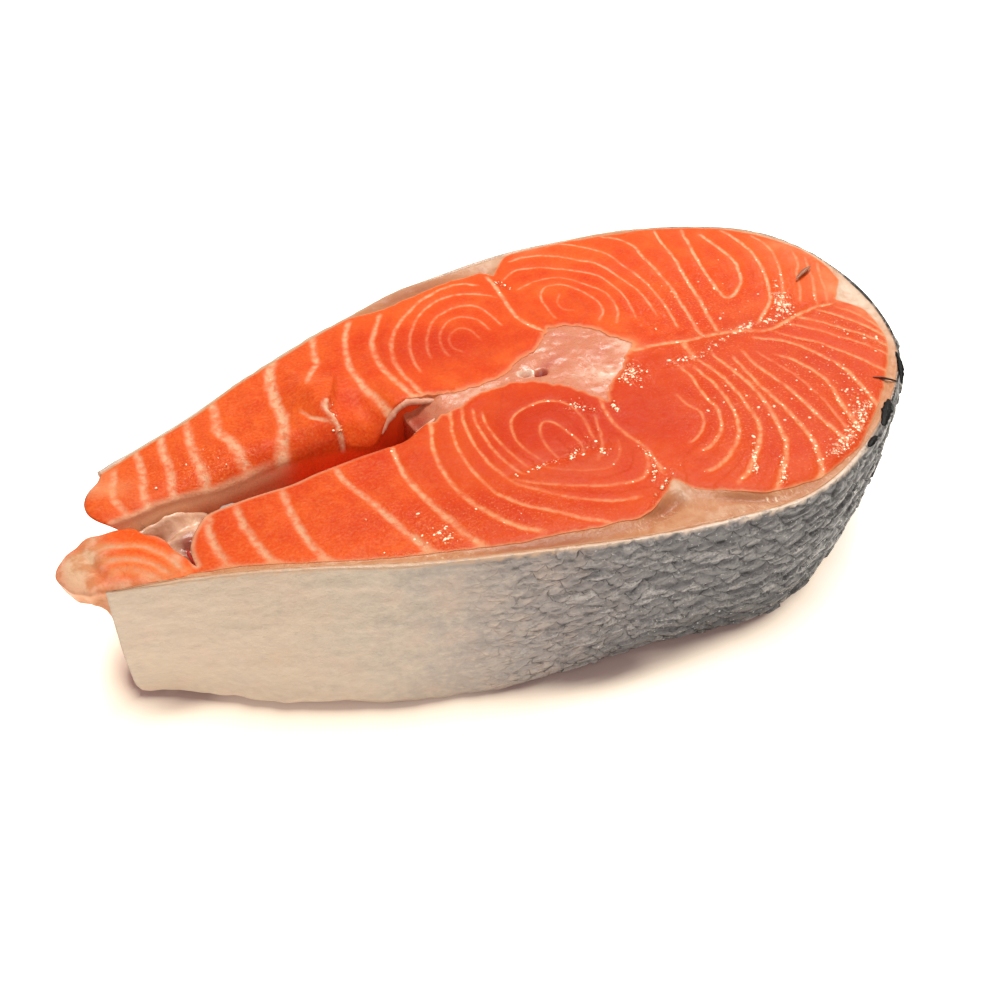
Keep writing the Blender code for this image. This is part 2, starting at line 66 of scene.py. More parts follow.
# The slice's thickness and the skin's, and how far above the floor skin and bone end.
THICKNESS = 34.6
SKIN = 1.1
SKIN_FOOT = 0.4
BONE_FOOT = 0.5
# The skin's upper edge, from the near belly round the back to the far belly. Then how far its foot is set
# in, by the share of the way round, how far it bulges between, and the rounding at its foot.
FLANK = (
    (-87.0, -19.3), (-71.0, -23.7), (-47.8, -32.2), (-23.2, -40.8), (3.0, -47.6), (21.8, -50.9),
    (36.0, -50.8), (50.2, -45.6), (66.5, -34.5), (78.2, -21.4), (83.6, -8.0), (85.4, 6.0), (83.2, 20.2),
    (76.3, 31.7), (64.4, 39.9), (49.3, 45.0), (34.0, 47.3), (19.8, 48.1), (3.5, 46.2), (-11.9, 42.8),
    (-43.4, 30.2), (-63.0, 20.2), (-81.0, 12.5),
)
FOOT_INSET = ((0.0, 6.0), (0.04, 0.6), (0.07, -2.8), (0.13, -3.6), (0.187, -0.8), (0.21, 1.6), (0.25, 4.0),
              (0.3, 3.6), (0.38, 5.3), (0.45, 9.0), (0.55, 9.5), (0.65, 7.0), (0.78, 4.0), (0.92, 1.0),
              (1.0, 4.0))
FLANK_BULGE = 1.6
FOOT_ROUNDING = 1.2
FOOT_HEIGHT = 4.2
# How much of its sideways sway the wall of the far tip, of the lobe and of the rest has, by height.
FAR_TUCK = ((0.0, 1.0), (13.0, 1.0), (21.0, 0.95), (28.5, 0.7), (THICKNESS, 0.0))
LOBE_TUCK = ((0.0, 1.0), (13.0, 1.0), (21.0, 0.86), (26.0, 0.5), (30.0, 0.1), (THICKNESS, 0.0))
PLAIN_TUCK = ((0.0, 1.0), (4.2, 0.85), (13.0, 0.57), (21.0, 0.33), (28.5, 0.12), (THICKNESS, 0.0))
# How far the far skin's end slides back towards the foot, and from what share of the way round.
FAR_SLIDE = 5.0
FAR_SLIDE_SHARE = 0.93
# The muscle's edge, from the near belly round to the far one, as pixels read off the photograph.
# The fat fills the rest up to the skin: a wedge on each flank, a small one at the back, and hardly any along
# the far side.
MUSCLE_EDGE = (
    (113, 590), (150, 588), (174, 582), (192, 573), (210, 571), (240, 566), (270, 564), (300, 563),
    (330, 561), (360, 560), (400, 557),
    (440, 552), (470, 549), (500, 545), (520, 543), (545, 537), (570, 532), (600, 527), (620, 521),
    (640, 518), (650, 511), (660, 501), (668, 490), (672, 480), (676, 479), (684, 483), (692, 488),
    (705, 490), (720, 490), (740, 491), (760, 492), (780, 490), (800, 484), (820, 478), (835, 467),
    (845, 458), (858, 447), (864, 436), (871, 420), (878, 402), (884, 380), (887, 360), (887, 348),
    (884, 336), (876, 324), (868, 315), (862, 309), (848, 304), (834, 300), (836, 290), (838, 281),
    (828, 269), (815, 259), (800, 250), (780, 243), (760, 237), (740, 233), (720, 230), (700, 229),
    (680, 228), (660, 229), (640, 231), (620, 235), (600, 237), (580, 241), (560, 242), (540, 247),
    (520, 252), (505, 258), (498, 267), (494, 277), (488, 275), (480, 274), (465, 279), (450, 282),
    (440, 286), (430, 290), (415, 297), (400, 303), (385, 310), (370, 314), (355, 318), (340, 323),
    (325, 329), (312, 335), (295, 345), (280, 354), (262, 364), (240, 381), (220, 396), (200, 410),
    (180, 425), (160, 438), (140, 450), (120, 464), (104, 474),
)
# How far below the face that edge was read, and the least depth of skin and fat outside it.
MUSCLE_EDGE_DROP = 0.5
MUSCLE_LEAST = 1.15
# How far flesh and fat draw in at the foot, behind the skin, and below what height.
FOOT_TUCK = 2.2
TUCK_HEIGHT = 6.0
# Depth of the skin's cut, by the share of the way round from the near belly to the far one.
SKIN_DEPTH = ((0.0, 0.8), (0.36, 0.75), (0.42, 0.6), (0.6, 0.5), (1.0, 0.5))

# The flesh's edge from the far flap round the backbone to the near one and the lobe: place at the top, and
# how far it sways towards the foot.
FAR_TIP = ((-81.6, 9.6, 6.8, -4.6), (-84.0, 7.0, 8.4, -3), (-85.3, 4.0, 9, -1.4), (-85.3, 1.0, 9, 0),
           (-84.2, -1.2, 8.2, 0.6), (-82.6, -2.6, 6.8, 1))
FAR_INNER = ((-78.0, -1.9, 4, 0.4), (-70.0, 0.0, 0, -1), (-60.0, 1.0, 0, -2), (-50.0, 2.8, 0, -3),
             (-43.0, 3.0, 0, -3), (-36.0, 2.6, 0, -2.5), (-30.0, 3.4, 0, -2), (-25.0, 6.0, 0, -1.5),
             (-20.6, 7.4, 0, 0))
SPINE_TOP = ((-16.0, 6.4, 0, 0), (-11.0, 5.2, 0, 0), (-5.0, 5.1, 0, 0), (1.0, 6.4, 0, 0), (5.0, 8.8, 0, 0),
             (11.0, 11.6, 0, 0), (16.0, 17.0, 0, 0))
SPINE_BACK = ((21.0, 15.2, 0, 0), (24.6, 12.4, 0, 0), (26.4, 8.5, 0, 0), (29.4, 4.2, 0, 0))
SPINE_NEAR = ((25.4, 0.4, 0, 0), (21.4, -3.6, 0, 0), (17.4, -6.6, 0, 0), (14.8, -11.0, 0, 0))
SPINE_BOTTOM = ((12.0, -6.2, 0, 0), (8.0, -1.4, 0, 0), (4.0, 1.4, 0, 0), (0.0, 2.6, 0, 0), (-7.0, 2.6, 0, 0),
                (-13.0, 0.6, 0, 0), (-19.6, -0.9, 0, 0))
NEAR_INNER = ((-25.0, -3.6, 0, 1), (-31.0, -4.6, 0, 1.5), (-40.0, -5.4, 0, 2), (-50.0, -6.6, 0, 2),
              (-60.0, -7.2, 0, 1.5), (-66.0, -8.1, 0, 1))
NEAR_END = ((-69.0, -11.0, 0, 1), (-70.8, -14.5, 0, 2), (-71.4, -17.5, -0.3, 4.6), (-71.3, -20.4, -0.9, 7.4))
LOBE_SIDE = ((-72.6, -17.0, -0.7, 4.6), (-74.2, -12.6, -0.6, 1), (-77.0, -8.2, 0, 0), (-80.0, -5.3, 1, -1),
             (-84.0, -4.0, 2, -2.4))
LOBE_TIP = ((-88.5, -4.6, 4, -1.6), (-92.4, -7.4, 7, 0.2), (-93.8, -11.4, 8, 2.8), (-92.4, -15.2, 6.5, 5.8),
            (-89.6, -17.6, 3.8, 7.4))
LOBE_FOOT = ((-87.7, -17.5, 1.9, 6.9),)
# Where along X the two tips begin, the line between the flaps along Y, and the backbone's front.
LOBE_FROM = -77.5
MOUTH_MIDDLE = -3.5
SPINE_FRONT = ((-20.4, 2.0), (-20.8, 5.0))

# The pale sheets between the muscle layers: half width where each starts and where it ends, how strong it
# is, and its points as pixels read off the photograph. They come from the near flap, the near
# core, the near back, the middle line, the far back, the far core, the far flap and the lobe.
SHEETS = (
    (0.55, 0.6, 0.8, (209, 514), (208, 524), (210, 536), (214, 544), (220, 554), (227, 563)),
    (0.5, 0.6, 0.85, (235, 505), (240, 516), (245, 528), (252, 537), (260, 547), (268, 556), (277, 563)),
    (0.5, 0.55, 0.9, (282, 490), (284, 496), (287, 505), (294, 517), (300, 528), (308, 540), (318, 551),
     (329, 561)),
    (0.4, 0.65, 0.95, (336, 468), (341, 476), (348, 484), (363, 495), (381, 510), (399, 526), (419, 541),
     (433, 553)),
    (0.3, 0.6, 0.95, (392, 446), (395, 456), (399, 464), (408, 479), (423, 495), (441, 512), (457, 526),
     (467, 535), (484, 544)),
    (0.25, 0.45, 0.9, (429, 418), (431, 427), (433, 446), (439, 463), (450, 481), (468, 499), (486, 510),
     (503, 519), (521, 526), (545, 531)),
    (0.2, 0.3, 0.85, (450, 409), (451, 420), (453, 433), (459, 450), (470, 467), (486, 483), (499, 494),
     (521, 503), (552, 510), (581, 517), (609, 521)),
    (0.2, 0.26, 0.8, (462, 407), (463, 418), (468, 432), (477, 448), (490, 463), (506, 477), (519, 484),
     (541, 490), (566, 496), (592, 499), (618, 500), (642, 496)),
    (0.18, 0.2, 0.75, (473, 409), (475, 420), (483, 434), (494, 450), (508, 463), (521, 472), (527, 474)),
    (0.16, 0.3, 0.75, (514, 479), (532, 482), (556, 484), (582, 485), (606, 485), (628, 482), (641, 478),
     (647, 471), (649, 460), (645, 450)),
    (0.16, 0.18, 0.7, (482, 411), (485, 421), (494, 435), (508, 450), (523, 463), (531, 469)),
    (0.14, 0.16, 0.4, (540, 466), (560, 469), (584, 470), (606, 468), (616, 461), (620, 450), (618, 440)),
    (0.16, 0.2, 0.65, (594, 415), (599, 428), (602, 440), (602, 450), (598, 460)),
    (0.16, 0.18, 0.7, (543, 461), (532, 454), (519, 443), (512, 430), (511, 421), (516, 413), (530, 405),
     (545, 400), (560, 401), (574, 408), (584, 419), (590, 431), (596, 442)),
    (0.16, 0.18, 0.75, (560, 459), (550, 450), (542, 437), (540, 426), (546, 421), (554, 422), (564, 428),
     (575, 437), (582, 446), (584, 454)),
    (0.25, 0.3, 0.8, (600, 398), (604, 408), (609, 416), (616, 425), (627, 434), (640, 443), (650, 452),
     (657, 462), (664, 473)),
    (0.16, 0.2, 0.6, (676, 394), (688, 404), (700, 411), (704, 420), (702, 430), (696, 438), (688, 443)),
    (0.18, 0.22, 0.8, (680, 366), (692, 376), (698, 386), (708, 398), (717, 407), (721, 418), (721, 430),
     (714, 442), (703, 450)),
    (0.18, 0.3, 0.85, (694, 366), (708, 377), (720, 389), (729, 401), (736, 414), (739, 430), (736, 444),
     (728, 456), (718, 466), (706, 471)),
    (0.2, 0.35, 0.9, (696, 358), (712, 368), (725, 378), (737, 391), (748, 406), (756, 416), (760, 427),
     (760, 438), (757, 451), (752, 463), (747, 473), (737, 483)),
    (0.2, 0.4, 0.9, (712, 353), (728, 365), (744, 378), (757, 391), (769, 407), (780, 427), (786, 441),
     (786, 457), (782, 472), (777, 487)),
    (0.2, 0.4, 0.9, (733, 356), (749, 373), (762, 386), (780, 402), (796, 418), (808, 432), (816, 444),
     (820, 458), (822, 470), (817, 484)),
    (0.2, 0.35, 0.9, (741, 349), (753, 361), (772, 375), (792, 390), (808, 404), (821, 417), (836, 430),
     (849, 441)),
    (0.16, 0.2, 0.45, (756, 351), (778, 364), (796, 375), (812, 388), (826, 402), (840, 419), (853, 434)),
    (0.22, 0.35, 0.95, (774, 354), (792, 358), (808, 366), (822, 375), (832, 386), (837, 395), (843, 405),
     (851, 415), (861, 429)),
    (0.2, 0.32, 0.9, (752, 337), (772, 338), (792, 342), (816, 352), (836, 362), (850, 372), (861, 384),
     (870, 394), (877, 404)),
    (0.2, 0.25, 0.75, (774, 331), (792, 336), (816, 341), (836, 348), (856, 356), (876, 365), (889, 371)),
    (0.18, 0.22, 0.6, (784, 323), (804, 326), (820, 330), (840, 336), (860, 342), (880, 350), (892, 355)),
    (0.18, 0.25, 0.75, (796, 316), (812, 319), (832, 324), (852, 330), (870, 336), (889, 345)),
    (0.18, 0.25, 0.75, (816, 309), (836, 314), (856, 321), (874, 329), (890, 338)),
    (0.18, 0.22, 0.6, (836, 306), (852, 311), (866, 318), (880, 327), (888, 333)),
    (0.35, 0.25, 0.95, (630, 349), (640, 348), (652, 345), (666, 342), (684, 340), (700, 337), (712, 334),
     (728, 331), (748, 330), (764, 330), (776, 326), (790, 318), (806, 310), (820, 305), (832, 303)),
    (0.5, 0.25, 1.0, (683, 341), (687, 347), (691, 353), (695, 360)),
    (0.2, 0.28, 1.0, (654, 230), (658, 237), (666, 247), (676, 260), (684, 274), (690, 284), (697, 295),
     (704, 307), (712, 321), (719, 332)),
    (0.22, 0.25, 1.0, (681, 229), (685, 237), (690, 246), (697, 258), (704, 270), (712, 281), (718, 289),
     (723, 295), (728, 297), (734, 294), (738, 288), (741, 278), (739, 270), (736, 263), (730, 256),
     (720, 248), (709, 240), (700, 234)),
    (0.25, 0.25, 0.9, (720, 230), (728, 233), (738, 240), (748, 248), (755, 256), (760, 263), (764, 271),
     (767, 279), (769, 288), (770, 297), (768, 305), (763, 314), (757, 324)),
    (0.2, 0.2, 0.55, (750, 235), (762, 241), (770, 248), (776, 258), (780, 270), (782, 281), (783, 292),
     (780, 304)),
    (0.18, 0.2, 0.45, (793, 252), (798, 262), (797, 274), (800, 288), (800, 302)),
    (0.18, 0.2, 0.5, (805, 257), (809, 269), (813, 281), (815, 295), (819, 307)),
    (0.16, 0.2, 0.45, (817, 262), (820, 276), (825, 289), (827, 301)),
    (0.2, 0.25, 0.85, (600, 236), (612, 237), (622, 240), (634, 246), (643, 256), (653, 266), (660, 274),
     (667, 282), (674, 291), (680, 301), (686, 310), (692, 320), (698, 330), (704, 337)),
    (0.16, 0.18, 0.65, (546, 247), (560, 243), (580, 246), (598, 250), (610, 255), (620, 263), (634, 272),
     (648, 284), (660, 298), (670, 312), (678, 327)),
    (0.16, 0.18, 0.65, (508, 262), (522, 257), (540, 255), (560, 256), (580, 260), (594, 262), (608, 269),
     (620, 277), (636, 288), (648, 301), (657, 316)),
    (0.16, 0.16, 0.6, (503, 280), (513, 271), (526, 268), (540, 267), (556, 268), (572, 270), (586, 272),
     (600, 276), (609, 282), (621, 292), (630, 304), (636, 318)),
    (0.15, 0.16, 0.55, (517, 290), (529, 283), (542, 279), (560, 277), (580, 282), (592, 286), (602, 290),
     (612, 299), (618, 311), (616, 323)),
    (0.15, 0.16, 0.55, (556, 318), (547, 308), (541, 298), (542, 290), (549, 285), (562, 284), (576, 288),
     (590, 295), (599, 302), (603, 311), (599, 321)),
    (0.13, 0.14, 0.3, (560, 293), (557, 301), (562, 308), (574, 310)),
    (0.3, 0.3, 0.95, (487, 277), (493, 283), (500, 293), (508, 305), (514, 313), (520, 319), (532, 325),
     (544, 330)),
    (0.35, 0.5, 0.95, (380, 314), (375, 329), (372, 341), (374, 352), (379, 362), (387, 373), (396, 381),
     (406, 389), (416, 396), (428, 400)),
    (0.2, 0.35, 0.85, (478, 285), (462, 283), (448, 286), (434, 292), (422, 299), (411, 309), (402, 319),
     (395, 330), (392, 341), (392, 353), (396, 364), (403, 374), (413, 384), (423, 394)),
    (0.18, 0.22, 0.7, (494, 297), (484, 294), (468, 293), (452, 295), (440, 299), (428, 306), (420, 314),
     (414, 324), (410, 337), (410, 349), (414, 361), (421, 372)),
    (0.16, 0.2, 0.65, (502, 325), (493, 317), (484, 310), (476, 306), (464, 305), (452, 308), (440, 314),
     (432, 322), (428, 333), (427, 346), (431, 358)),
    (0.15, 0.18, 0.55, (490, 330), (479, 320), (468, 317), (458, 317), (448, 321), (442, 329), (440, 338),
     (442, 347), (449, 356)),
    (0.15, 0.16, 0.45, (481, 340), (471, 330), (460, 328), (452, 332), (449, 340), (453, 348), (464, 352)),
    (0.4, 0.55, 0.95, (349, 321), (346, 332), (345, 341), (346, 351), (348, 361), (352, 371), (359, 380),
     (366, 389), (374, 396), (383, 404), (392, 413)),
    (0.55, 0.5, 0.9, (311, 332), (313, 346), (315, 357), (317, 364)),
    (0.45, 0.3, 0.8, (317, 364), (312, 370), (309, 377), (307, 385)),
    (0.75, 0.9, 0.95, (272, 356), (270, 370), (270, 381), (273, 393), (277, 404), (281, 414), (284, 424),
     (283, 434), (282, 445), (281, 457)),
    (0.2, 0.3, 0.8, (300, 412), (309, 419), (318, 422), (330, 424)),
    (0.6, 0.9, 0.85, (209, 399), (214, 410), (216, 420), (217, 430), (222, 436), (230, 440), (236, 448),
     (241, 457), (247, 464)),
    (0.55, 0.8, 0.8, (183, 416), (187, 428), (189, 438), (192, 448), (196, 458), (201, 467), (204, 477),
     (206, 487)),
    (0.55, 0.6, 0.8, (160, 435), (162, 446), (165, 457), (169, 466), (171, 476), (171, 486), (175, 495)),
    (0.5, 0.6, 0.8, (134, 450), (138, 458), (141, 467), (143, 478), (143, 489), (145, 500), (149, 506)),
    (0.5, 0.5, 0.75, (114, 469), (114, 480), (112, 490), (114, 499), (120, 506), (128, 513), (135, 518)),
    (0.45, 0.3, 0.75, (99, 547), (112, 546), (128, 545), (142, 546), (158, 551), (172, 560), (185, 571)),
    (0.45, 0.3, 0.7, (105, 560), (118, 559), (132, 558), (146, 561), (160, 567), (172, 575)),
    (0.4, 0.3, 0.55, (113, 572), (128, 569), (140, 571), (152, 576), (163, 582)),
)

# The cut face: how far it stands over the even thickness, its shoulder, how far it drops along the lobe and
# the flaps, and its broad waves (height, turns along X and Y, start).
FACE_RISE = 0.6
SHOULDER_DROP = 0.35
SHOULDER_WIDTH = 1.8
SKIN_DROP = 0.2
LOBE_DROP = 2.4
LOBE_DROP_FROM = -74.0
FLAP_DROP = 0.3
FLAP_DROP_FROM = -60.0
DROP_LENGTH = 20.0
WAVES = ((0.35, 0.052, 0.07, 0.9), (0.2, 0.13, -0.09, 0.0), (0.12, 0.17, 0.31, 2.0))
# Mounds, here and below: height, place, half length, half width, and turn in degrees.
FACE_MOUNDS = (
    (1.6, -37.0, 15.0, 4.0, 9.0, 9), (-2.2, -29.5, 8.0, 4.4, 7.0, 9), (-1.6, -30.0, 3.0, 5.0, 3.0, 0),
    (-0.6, 0.0, -22.0, 9.0, 1.3, 0), (0.5, 0.0, -12.0, 9.0, 8.0, 0), (0.9, -81.0, -12.0, 6.0, 5.0, 0),
    (-0.6, -87.4, -12.0, 0.9, 6.0, 14), (0.6, -91.0, -9.5, 2.4, 3.0, 0),
)
# Only the top of a wall, from this height up, moves with the face.
WALL_TOP = 28.5
# The belly's lining: its outline, its heights and its folds.
LINING = ((-61.5, -0.5), (-68.0, -1.2), (-74.0, -1.8), (-79.0, -2.9), (-82.0, -3.5), (-79.6, -4.7),
          (-76.4, -7.6), (-73.9, -11.2), (-72.3, -13.2), (-70.8, -12.2), (-68.2, -9.3), (-65.6, -7.3),
          (-61.5, -6.2))
LINING_HEIGHTS = (20.0, 24.0)
LINING_SHEET = 29.0
LINING_FOLDS = ((3.2, -73.0, -2.6, 8.0, 1.1, 12), (1.3, -70.0, -7.0, 4.4, 2.2, 30),
                (1.6, -78.0, -5.2, 3.0, 1.0, -40), (-1.8, -75.0, -4.8, 2.4, 1.2, 10),
                (-6.0, -60.0, -3.0, 4.5, 6.0, 0))

# ---------------------------------------------------------------- values of the looks

# Spacing of points: along curves that are only measured, over the face, along its edge, along the skin, and
# over the smaller pieces.
EVEN_STEP = 0.6
FLAKE_STEP = 0.5
COARSER = 1.0
FACE_STEP = 0.6 * COARSER
EDGE_STEP = 0.75 * COARSER
STATION_STEP = 0.62 * COARSER
UNDERSIDE_STEP = 1.6 * COARSER
BONE_STEP = 0.5 * COARSER
LINING_STEP = 0.45 * COARSER
STRAND_STEP = 0.3
# Neighbouring layers run this far into each other, so that no dark line shows between them.
FLESH_OVERLAP = 0.2
FAT_OVERLAP = 0.35

# Lumps, here and below: how strong they are, their size and their seed.
FOOT_LUMPS = ((0.6, 9.0, 67.0), (0.3, 3.6, 69.0))
MUSCLE_LUMPS = ((0.25, 2.5, 23.0),)
FACE_LUMPS = ((0.12, 2.6, 5.0), (0.048, 2.6 / 3, 8.0))
WET_LUMPS = ((0.14, 0.9, 19.0),)
# Strokes of the flesh's edge, by their numbers, how ragged they are, and the folds of its walls.
BY_SKIN, FAR_WALL, BY_BONE, NEAR_WALL, LOBE_SIDES = -1, 1, 2, 3, 4
BONE_RAGGED = ((0.8, 1.7, 27.0),)
LOBE_RAGGED = ((0.9, 3.4, 29.0),)
WALL_RAGGED = ((0.3, 4.0, 39.0),)
WALL_FOLDS = ((0.35, 3.2, 2.0),)
# How far the bone runs under the muscle's ragged edge.
BONE_UNDER = 0.9
FLESH_HEIGHTS = (0.0, 0.5, 1.2, 2.2, 4.0, 7.0, 10.0, 13.0, 16.0, 19.0, 22.0, 25.0, 28.0, 30.5, 32.5, 33.8,
                 THICKNESS)
# The near flap's lower corner is round: how far the rounding reaches along the flank, and up it.
CORNER_LENGTH = 6.0
CORNER_HEIGHT = 9.0
CORNER_REACH = 14.0

# Stretches, from nought to one: the flaps and the lobe along X, the far half along Y, and along X again the
# pale edge of the open belly on each side, its lined walls, the red ones and the redder lining. Then how
# thick the fat is where its tongues run into the flesh.
FLAPS = (-16.0, -38.0)
LOBE = (-70.8, -72.2)
FAR_HALF = (-2.0, 6.0)
FAR_MOUTH_PALE = (-46.0, -56.0)
NEAR_MOUTH_PALE = (-18.0, -60.0)
LINED = (-44.0, -52.0)
RED_WALL = (-60.0, -48.0)
RED_LINING = (-76.0, -62.0)
FATTY = (1.3, 2.4)

# The sheets' grooves: depth and reach of the groove itself and of the valley round it.
GROOVE = 0.26
GROOVE_REACH = 0.4
VALLEY = 0.16
VALLEY_REACH = 1.3
# Rows of points along each sheet: their spacing, how far apart the rows are, and the least room round a
# point.
SHEET_STEP = 0.45 * COARSER
SHEET_ROW = 0.42
SHEET_ROOM = 0.28
POINT_ROOM = 0.16
# How far off a sheet is still measured, the small waves of the sheets along X and Y, and how their width,
# strength and fat tongues vary.
SHEET_REACH = 9.0
SHEET_STRAYS = (((0.16, 2.2, 3.0),), ((0.16, 2.2, 43.0),))
WIDTH_LUMPS = ((0.4, 2.2, 11.0),)
SHOW_LUMPS = ((0.6, 5.0, 13.0), (0.5, 1.3, 15.0))
TONGUE_LUMPS = ((0.45, 1.6, 17.0),)

# How far the far flap rolls down towards the open belly, over what width, how little it does at its tip, and
# where it does across and along the steak.
MOUTH_ROLL = 1.8
MOUTH_ROLL_WIDTH = 5.0
MOUTH_ROLL_LEAST = 0.8
ROLL_ACROSS = (-5.0, -2.0)
ROLL_ALONG = (-22.0, -30.0)
ROLL_FULL = (-80.0, -55.0)
# The lifted edge of the torn flake: its line, how high it stands, how far behind the line that reaches, and
# the middle and half sizes of its box. Then how far along Y its edge is pale, and how ragged that is.
FLAKE_EDGE = ((-36.8, -3.0), (-36.5, -0.5), (-35.6, 1.7), (-35.5, 5.7), (-36.4, 8.9), (-35.3, 10.8),
              (-32.6, 16.0), (-30.8, 20.6), (-31.6, 25.0))
FLAKE_LIFT = 1.6
FLAKE_REACH = 6.0
FLAKE_MIDDLE = (-34.0, 11.0)
FLAKE_BOX = (12.0, 16.0)
FLAKE_PALE_TO = 10.5
FLAKE_RAGGED = ((0.3, 1.0, 25.0),)

# Where the muscle is deeper (+) or lighter (-) than elsewhere. The lighter mound on the torn flake is painted
# light on its lifted facet.
TONES = (
    (1.2, 1.0, -12.0, 13.0, 8.5, 0), (0.45, 14.0, -20.0, 9.0, 9.0, 0), (0.9, -8.0, 21.0, 17.0, 8.0, -14),
    (0.5, 25.0, -15.0, 8.0, 9.0, 0), (0.35, 24.0, 20.0, 9.0, 8.0, 0), (-0.8, 74.0, 8.0, 12.0, 26.0, 0),
    (-0.5, 50.0, 28.0, 14.0, 9.0, 0), (0.5, -48.0, 12.0, 6.0, 8.0, 0), (-1.2, -36.0, 17.0, 3.0, 8.0, 9),
    (-1.6, -81.0, 5.0, 7.0, 10.0, 0), (-1.1, -58.0, 11.0, 18.0, 9.0, 25), (-0.5, -45.0, -22.0, 20.0, 9.0, -20),
)
# Where the sheets are faint: the two cores by the belly.
FAINT = ((0.66, 0.0, -23.0, 20.0, 14.0, 0), (0.6, -9.0, 21.0, 16.0, 11.0, -14))
# Painted sheen: the dull, pinkish reflection of facets below the crease of the near core, and on both sides of
# the backbone.
SHEENS = ((0.8, 3.0, -25.5, 13.0, 3.2, 4), (0.5, 20.0, 12.0, 8.0, 3.0, -15), (0.5, 24.0, -12.0, 6.0, 2.6, 0))
# Where flesh and fat are pale, and where the lobe is cream rather than orange.
PALES = (
    (1.2, 28.6, 3.2, 2.4, 2.6, 0), (0.6, -80.0, 7.5, 4.0, 6.0, 20), (1.0, 82.0, 1.0, 4.5, 5.5, 0),
    (0.8, 81.5, -8.0, 4.0, 12.0, -12), (0.7, 81.0, 18.0, 4.0, 8.0, 20), (0.45, 17.0, 46.5, 9.0, 2.5, 0),
    (0.4, 32.0, 47.5, 9.0, 2.0, 0), (0.5, 14.6, -38.6, 1.1, 3.6, 12), (0.35, 20.0, -48.0, 9.0, 1.4, -8),
    (0.5, -82.5, 7.0, 2.6, 5.0, 20),
)
CREAMS = (
    (1.0, -88.6, -8.6, 4.2, 3.4, 20), (0.9, -90.5, -14.5, 5.0, 6.0, 0), (0.8, -84.5, -20.0, 6.0, 2.6, 0),
    (0.7, -86.0, -4.6, 2.2, 1.2, 0), (0.7, -73.2, -15.0, 1.0, 5.0, -18), (0.6, -74.5, -10.6, 1.0, 3.0, 35),
)

# The fat's section: how many lines cross its top, and the heights of those down its sides. Then the hollows
# and crests of its wedges, and where it is browner, and where it is wetter and has painted glints.
FAT_COLUMNS = 15
FAT_LEVELS = (0.0, 1.5, 4.2, 13.0, 21.0, 28.5, 33.0)
FAT_LUMPS = ((0.16, 1.6, 21.0),)
FAT_HOLLOWS = ((-1.5, 10.0, -41.6, 4.6, 1.7, 14), (0.6, 14.6, -39.2, 1.0, 3.4, 12),
               (-0.7, 24.5, -46.2, 6.0, 1.1, -30), (-0.8, 13.5, 43.0, 2.0, 2.0, 0))
BROWNS = (
    (1.0, 10.0, -41.4, 5.0, 1.9, 14), (0.7, -14.0, -40.6, 9.0, 1.2, -12), (0.8, 24.0, -45.6, 7.0, 1.4, -30),
    (0.5, 0.0, -43.2, 6.0, 1.2, -8), (1.0, -4.0, 42.0, 14.0, 3.2, 12), (0.5, 38.0, -48.0, 8.0, 1.8, 20),
    (0.9, -14.0, -41.6, 12.0, 1.6, -16), (0.5, 52.0, -43.0, 7.0, 2.0, 38),
)
FAT_WETS_AND_GLINTS = (
    (1.0, 26.0, -48.6, 13.0, 1.8, 3), (0.8, 7.0, -43.5, 6.0, 1.6, 10), (0.7, -30.0, -36.6, 8.0, 1.0, -18),
    (0.8, 51.0, -43.5, 6.0, 1.4, 35), (0.5, -57.0, -27.0, 14.0, 1.0, -18),
)

# Scales: their length round the fish, how far apart their rows are, how far they stand out, and how they and
# their rows stray. Then the lines of the skin's outside and the heights of those down its inside.
SCALE_LENGTH = 4.7
SCALE_HEIGHT = 1.55
SCALE_RISE = 0.7
SCALE_SLANT = 0.06
SCALE_STRAYS = ((2.8, 9.0, 31.0), (2.2, 3.4, 33.0))
ROW_STRAYS = ((1.5, 9.0, 35.0), (1.1, 3.2, 37.0), (0.4, 1.5, 38.0))
SKIN_LEVELS = 92
SKIN_INSIDE = (28.5, 21.0, 13.0, 4.2, 0.0)
# Where along X the scales begin, and where the skin's colour starts from the belly and how far it runs.
SCALED = (-36.0, -4.0)
BELLY_END = -58.0
BELLY_TO_BACK = 130.0
# The skin's rim, foot, creases and cut edge, and how far its foot curls in at the belly.
SKIN_RIM_LUMPS = ((0.14, 2.0, 49.0),)
SKIN_FOOT_LUMPS = ((0.6, 8.0, 41.0), (0.3, 2.5, 43.0))
CREASES = ((0.22, 2.6, 45.0), (0.45, 9.0, 46.0))
CUT_RAGGED = ((0.01, 1.6, 47.0),)
FOOT_CURL = 1.4
# A small tan stain on the belly skin, as a mound over the length along the skin and the height.
STAIN = (1.0, 27.0, 16.5, 3.2, 1.6, 10)

# The backbone: its front, its heights below the cut, how far its front drops, and its crags. Then its two
# pits (place, half length and half width), how deep they are, and where it is pink, pale or bloody.
BONE_FRONT = ((-20.0, -0.3), *SPINE_FRONT, (-20.7, 6.8))
BONE_HEIGHTS = (BONE_FOOT, 8.0, THICKNESS / 2, 26.0, 31.0)
BONE_DROP = 3.4
BONE_SINK = 0.12
BONE_LUMPS = ((0.36, 4.2, 55.0),)
BONE_CREASES = ((0.36 * 0.9, 3.0, 57.0),)
BONE_CRAGS = ((0.18, 2.0, 51.0), (0.084, 0.9, 53.0))
PITS = ((4.5, 4.5, 1.3, 0.9), (7.4, 3.4, 1.5, 1.1))
PIT_DEPTHS = (1.7, 1.5)
BONE_PINKS = (
    (0.8, 11.0, 6.0, 3.5, 1.6, 25), (0.6, 17.0, 12.5, 3.0, 1.2, -30), (0.5, 22.0, 5.0, 3.0, 1.5, 30),
)
BONE_PALES = ((1.0, 18.5, -3.0, 5.0, 3.4, -25), (0.9, 27.5, 4.0, 2.6, 4.0, 0), (0.6, -8.0, 3.6, 6.0, 1.6, 0))
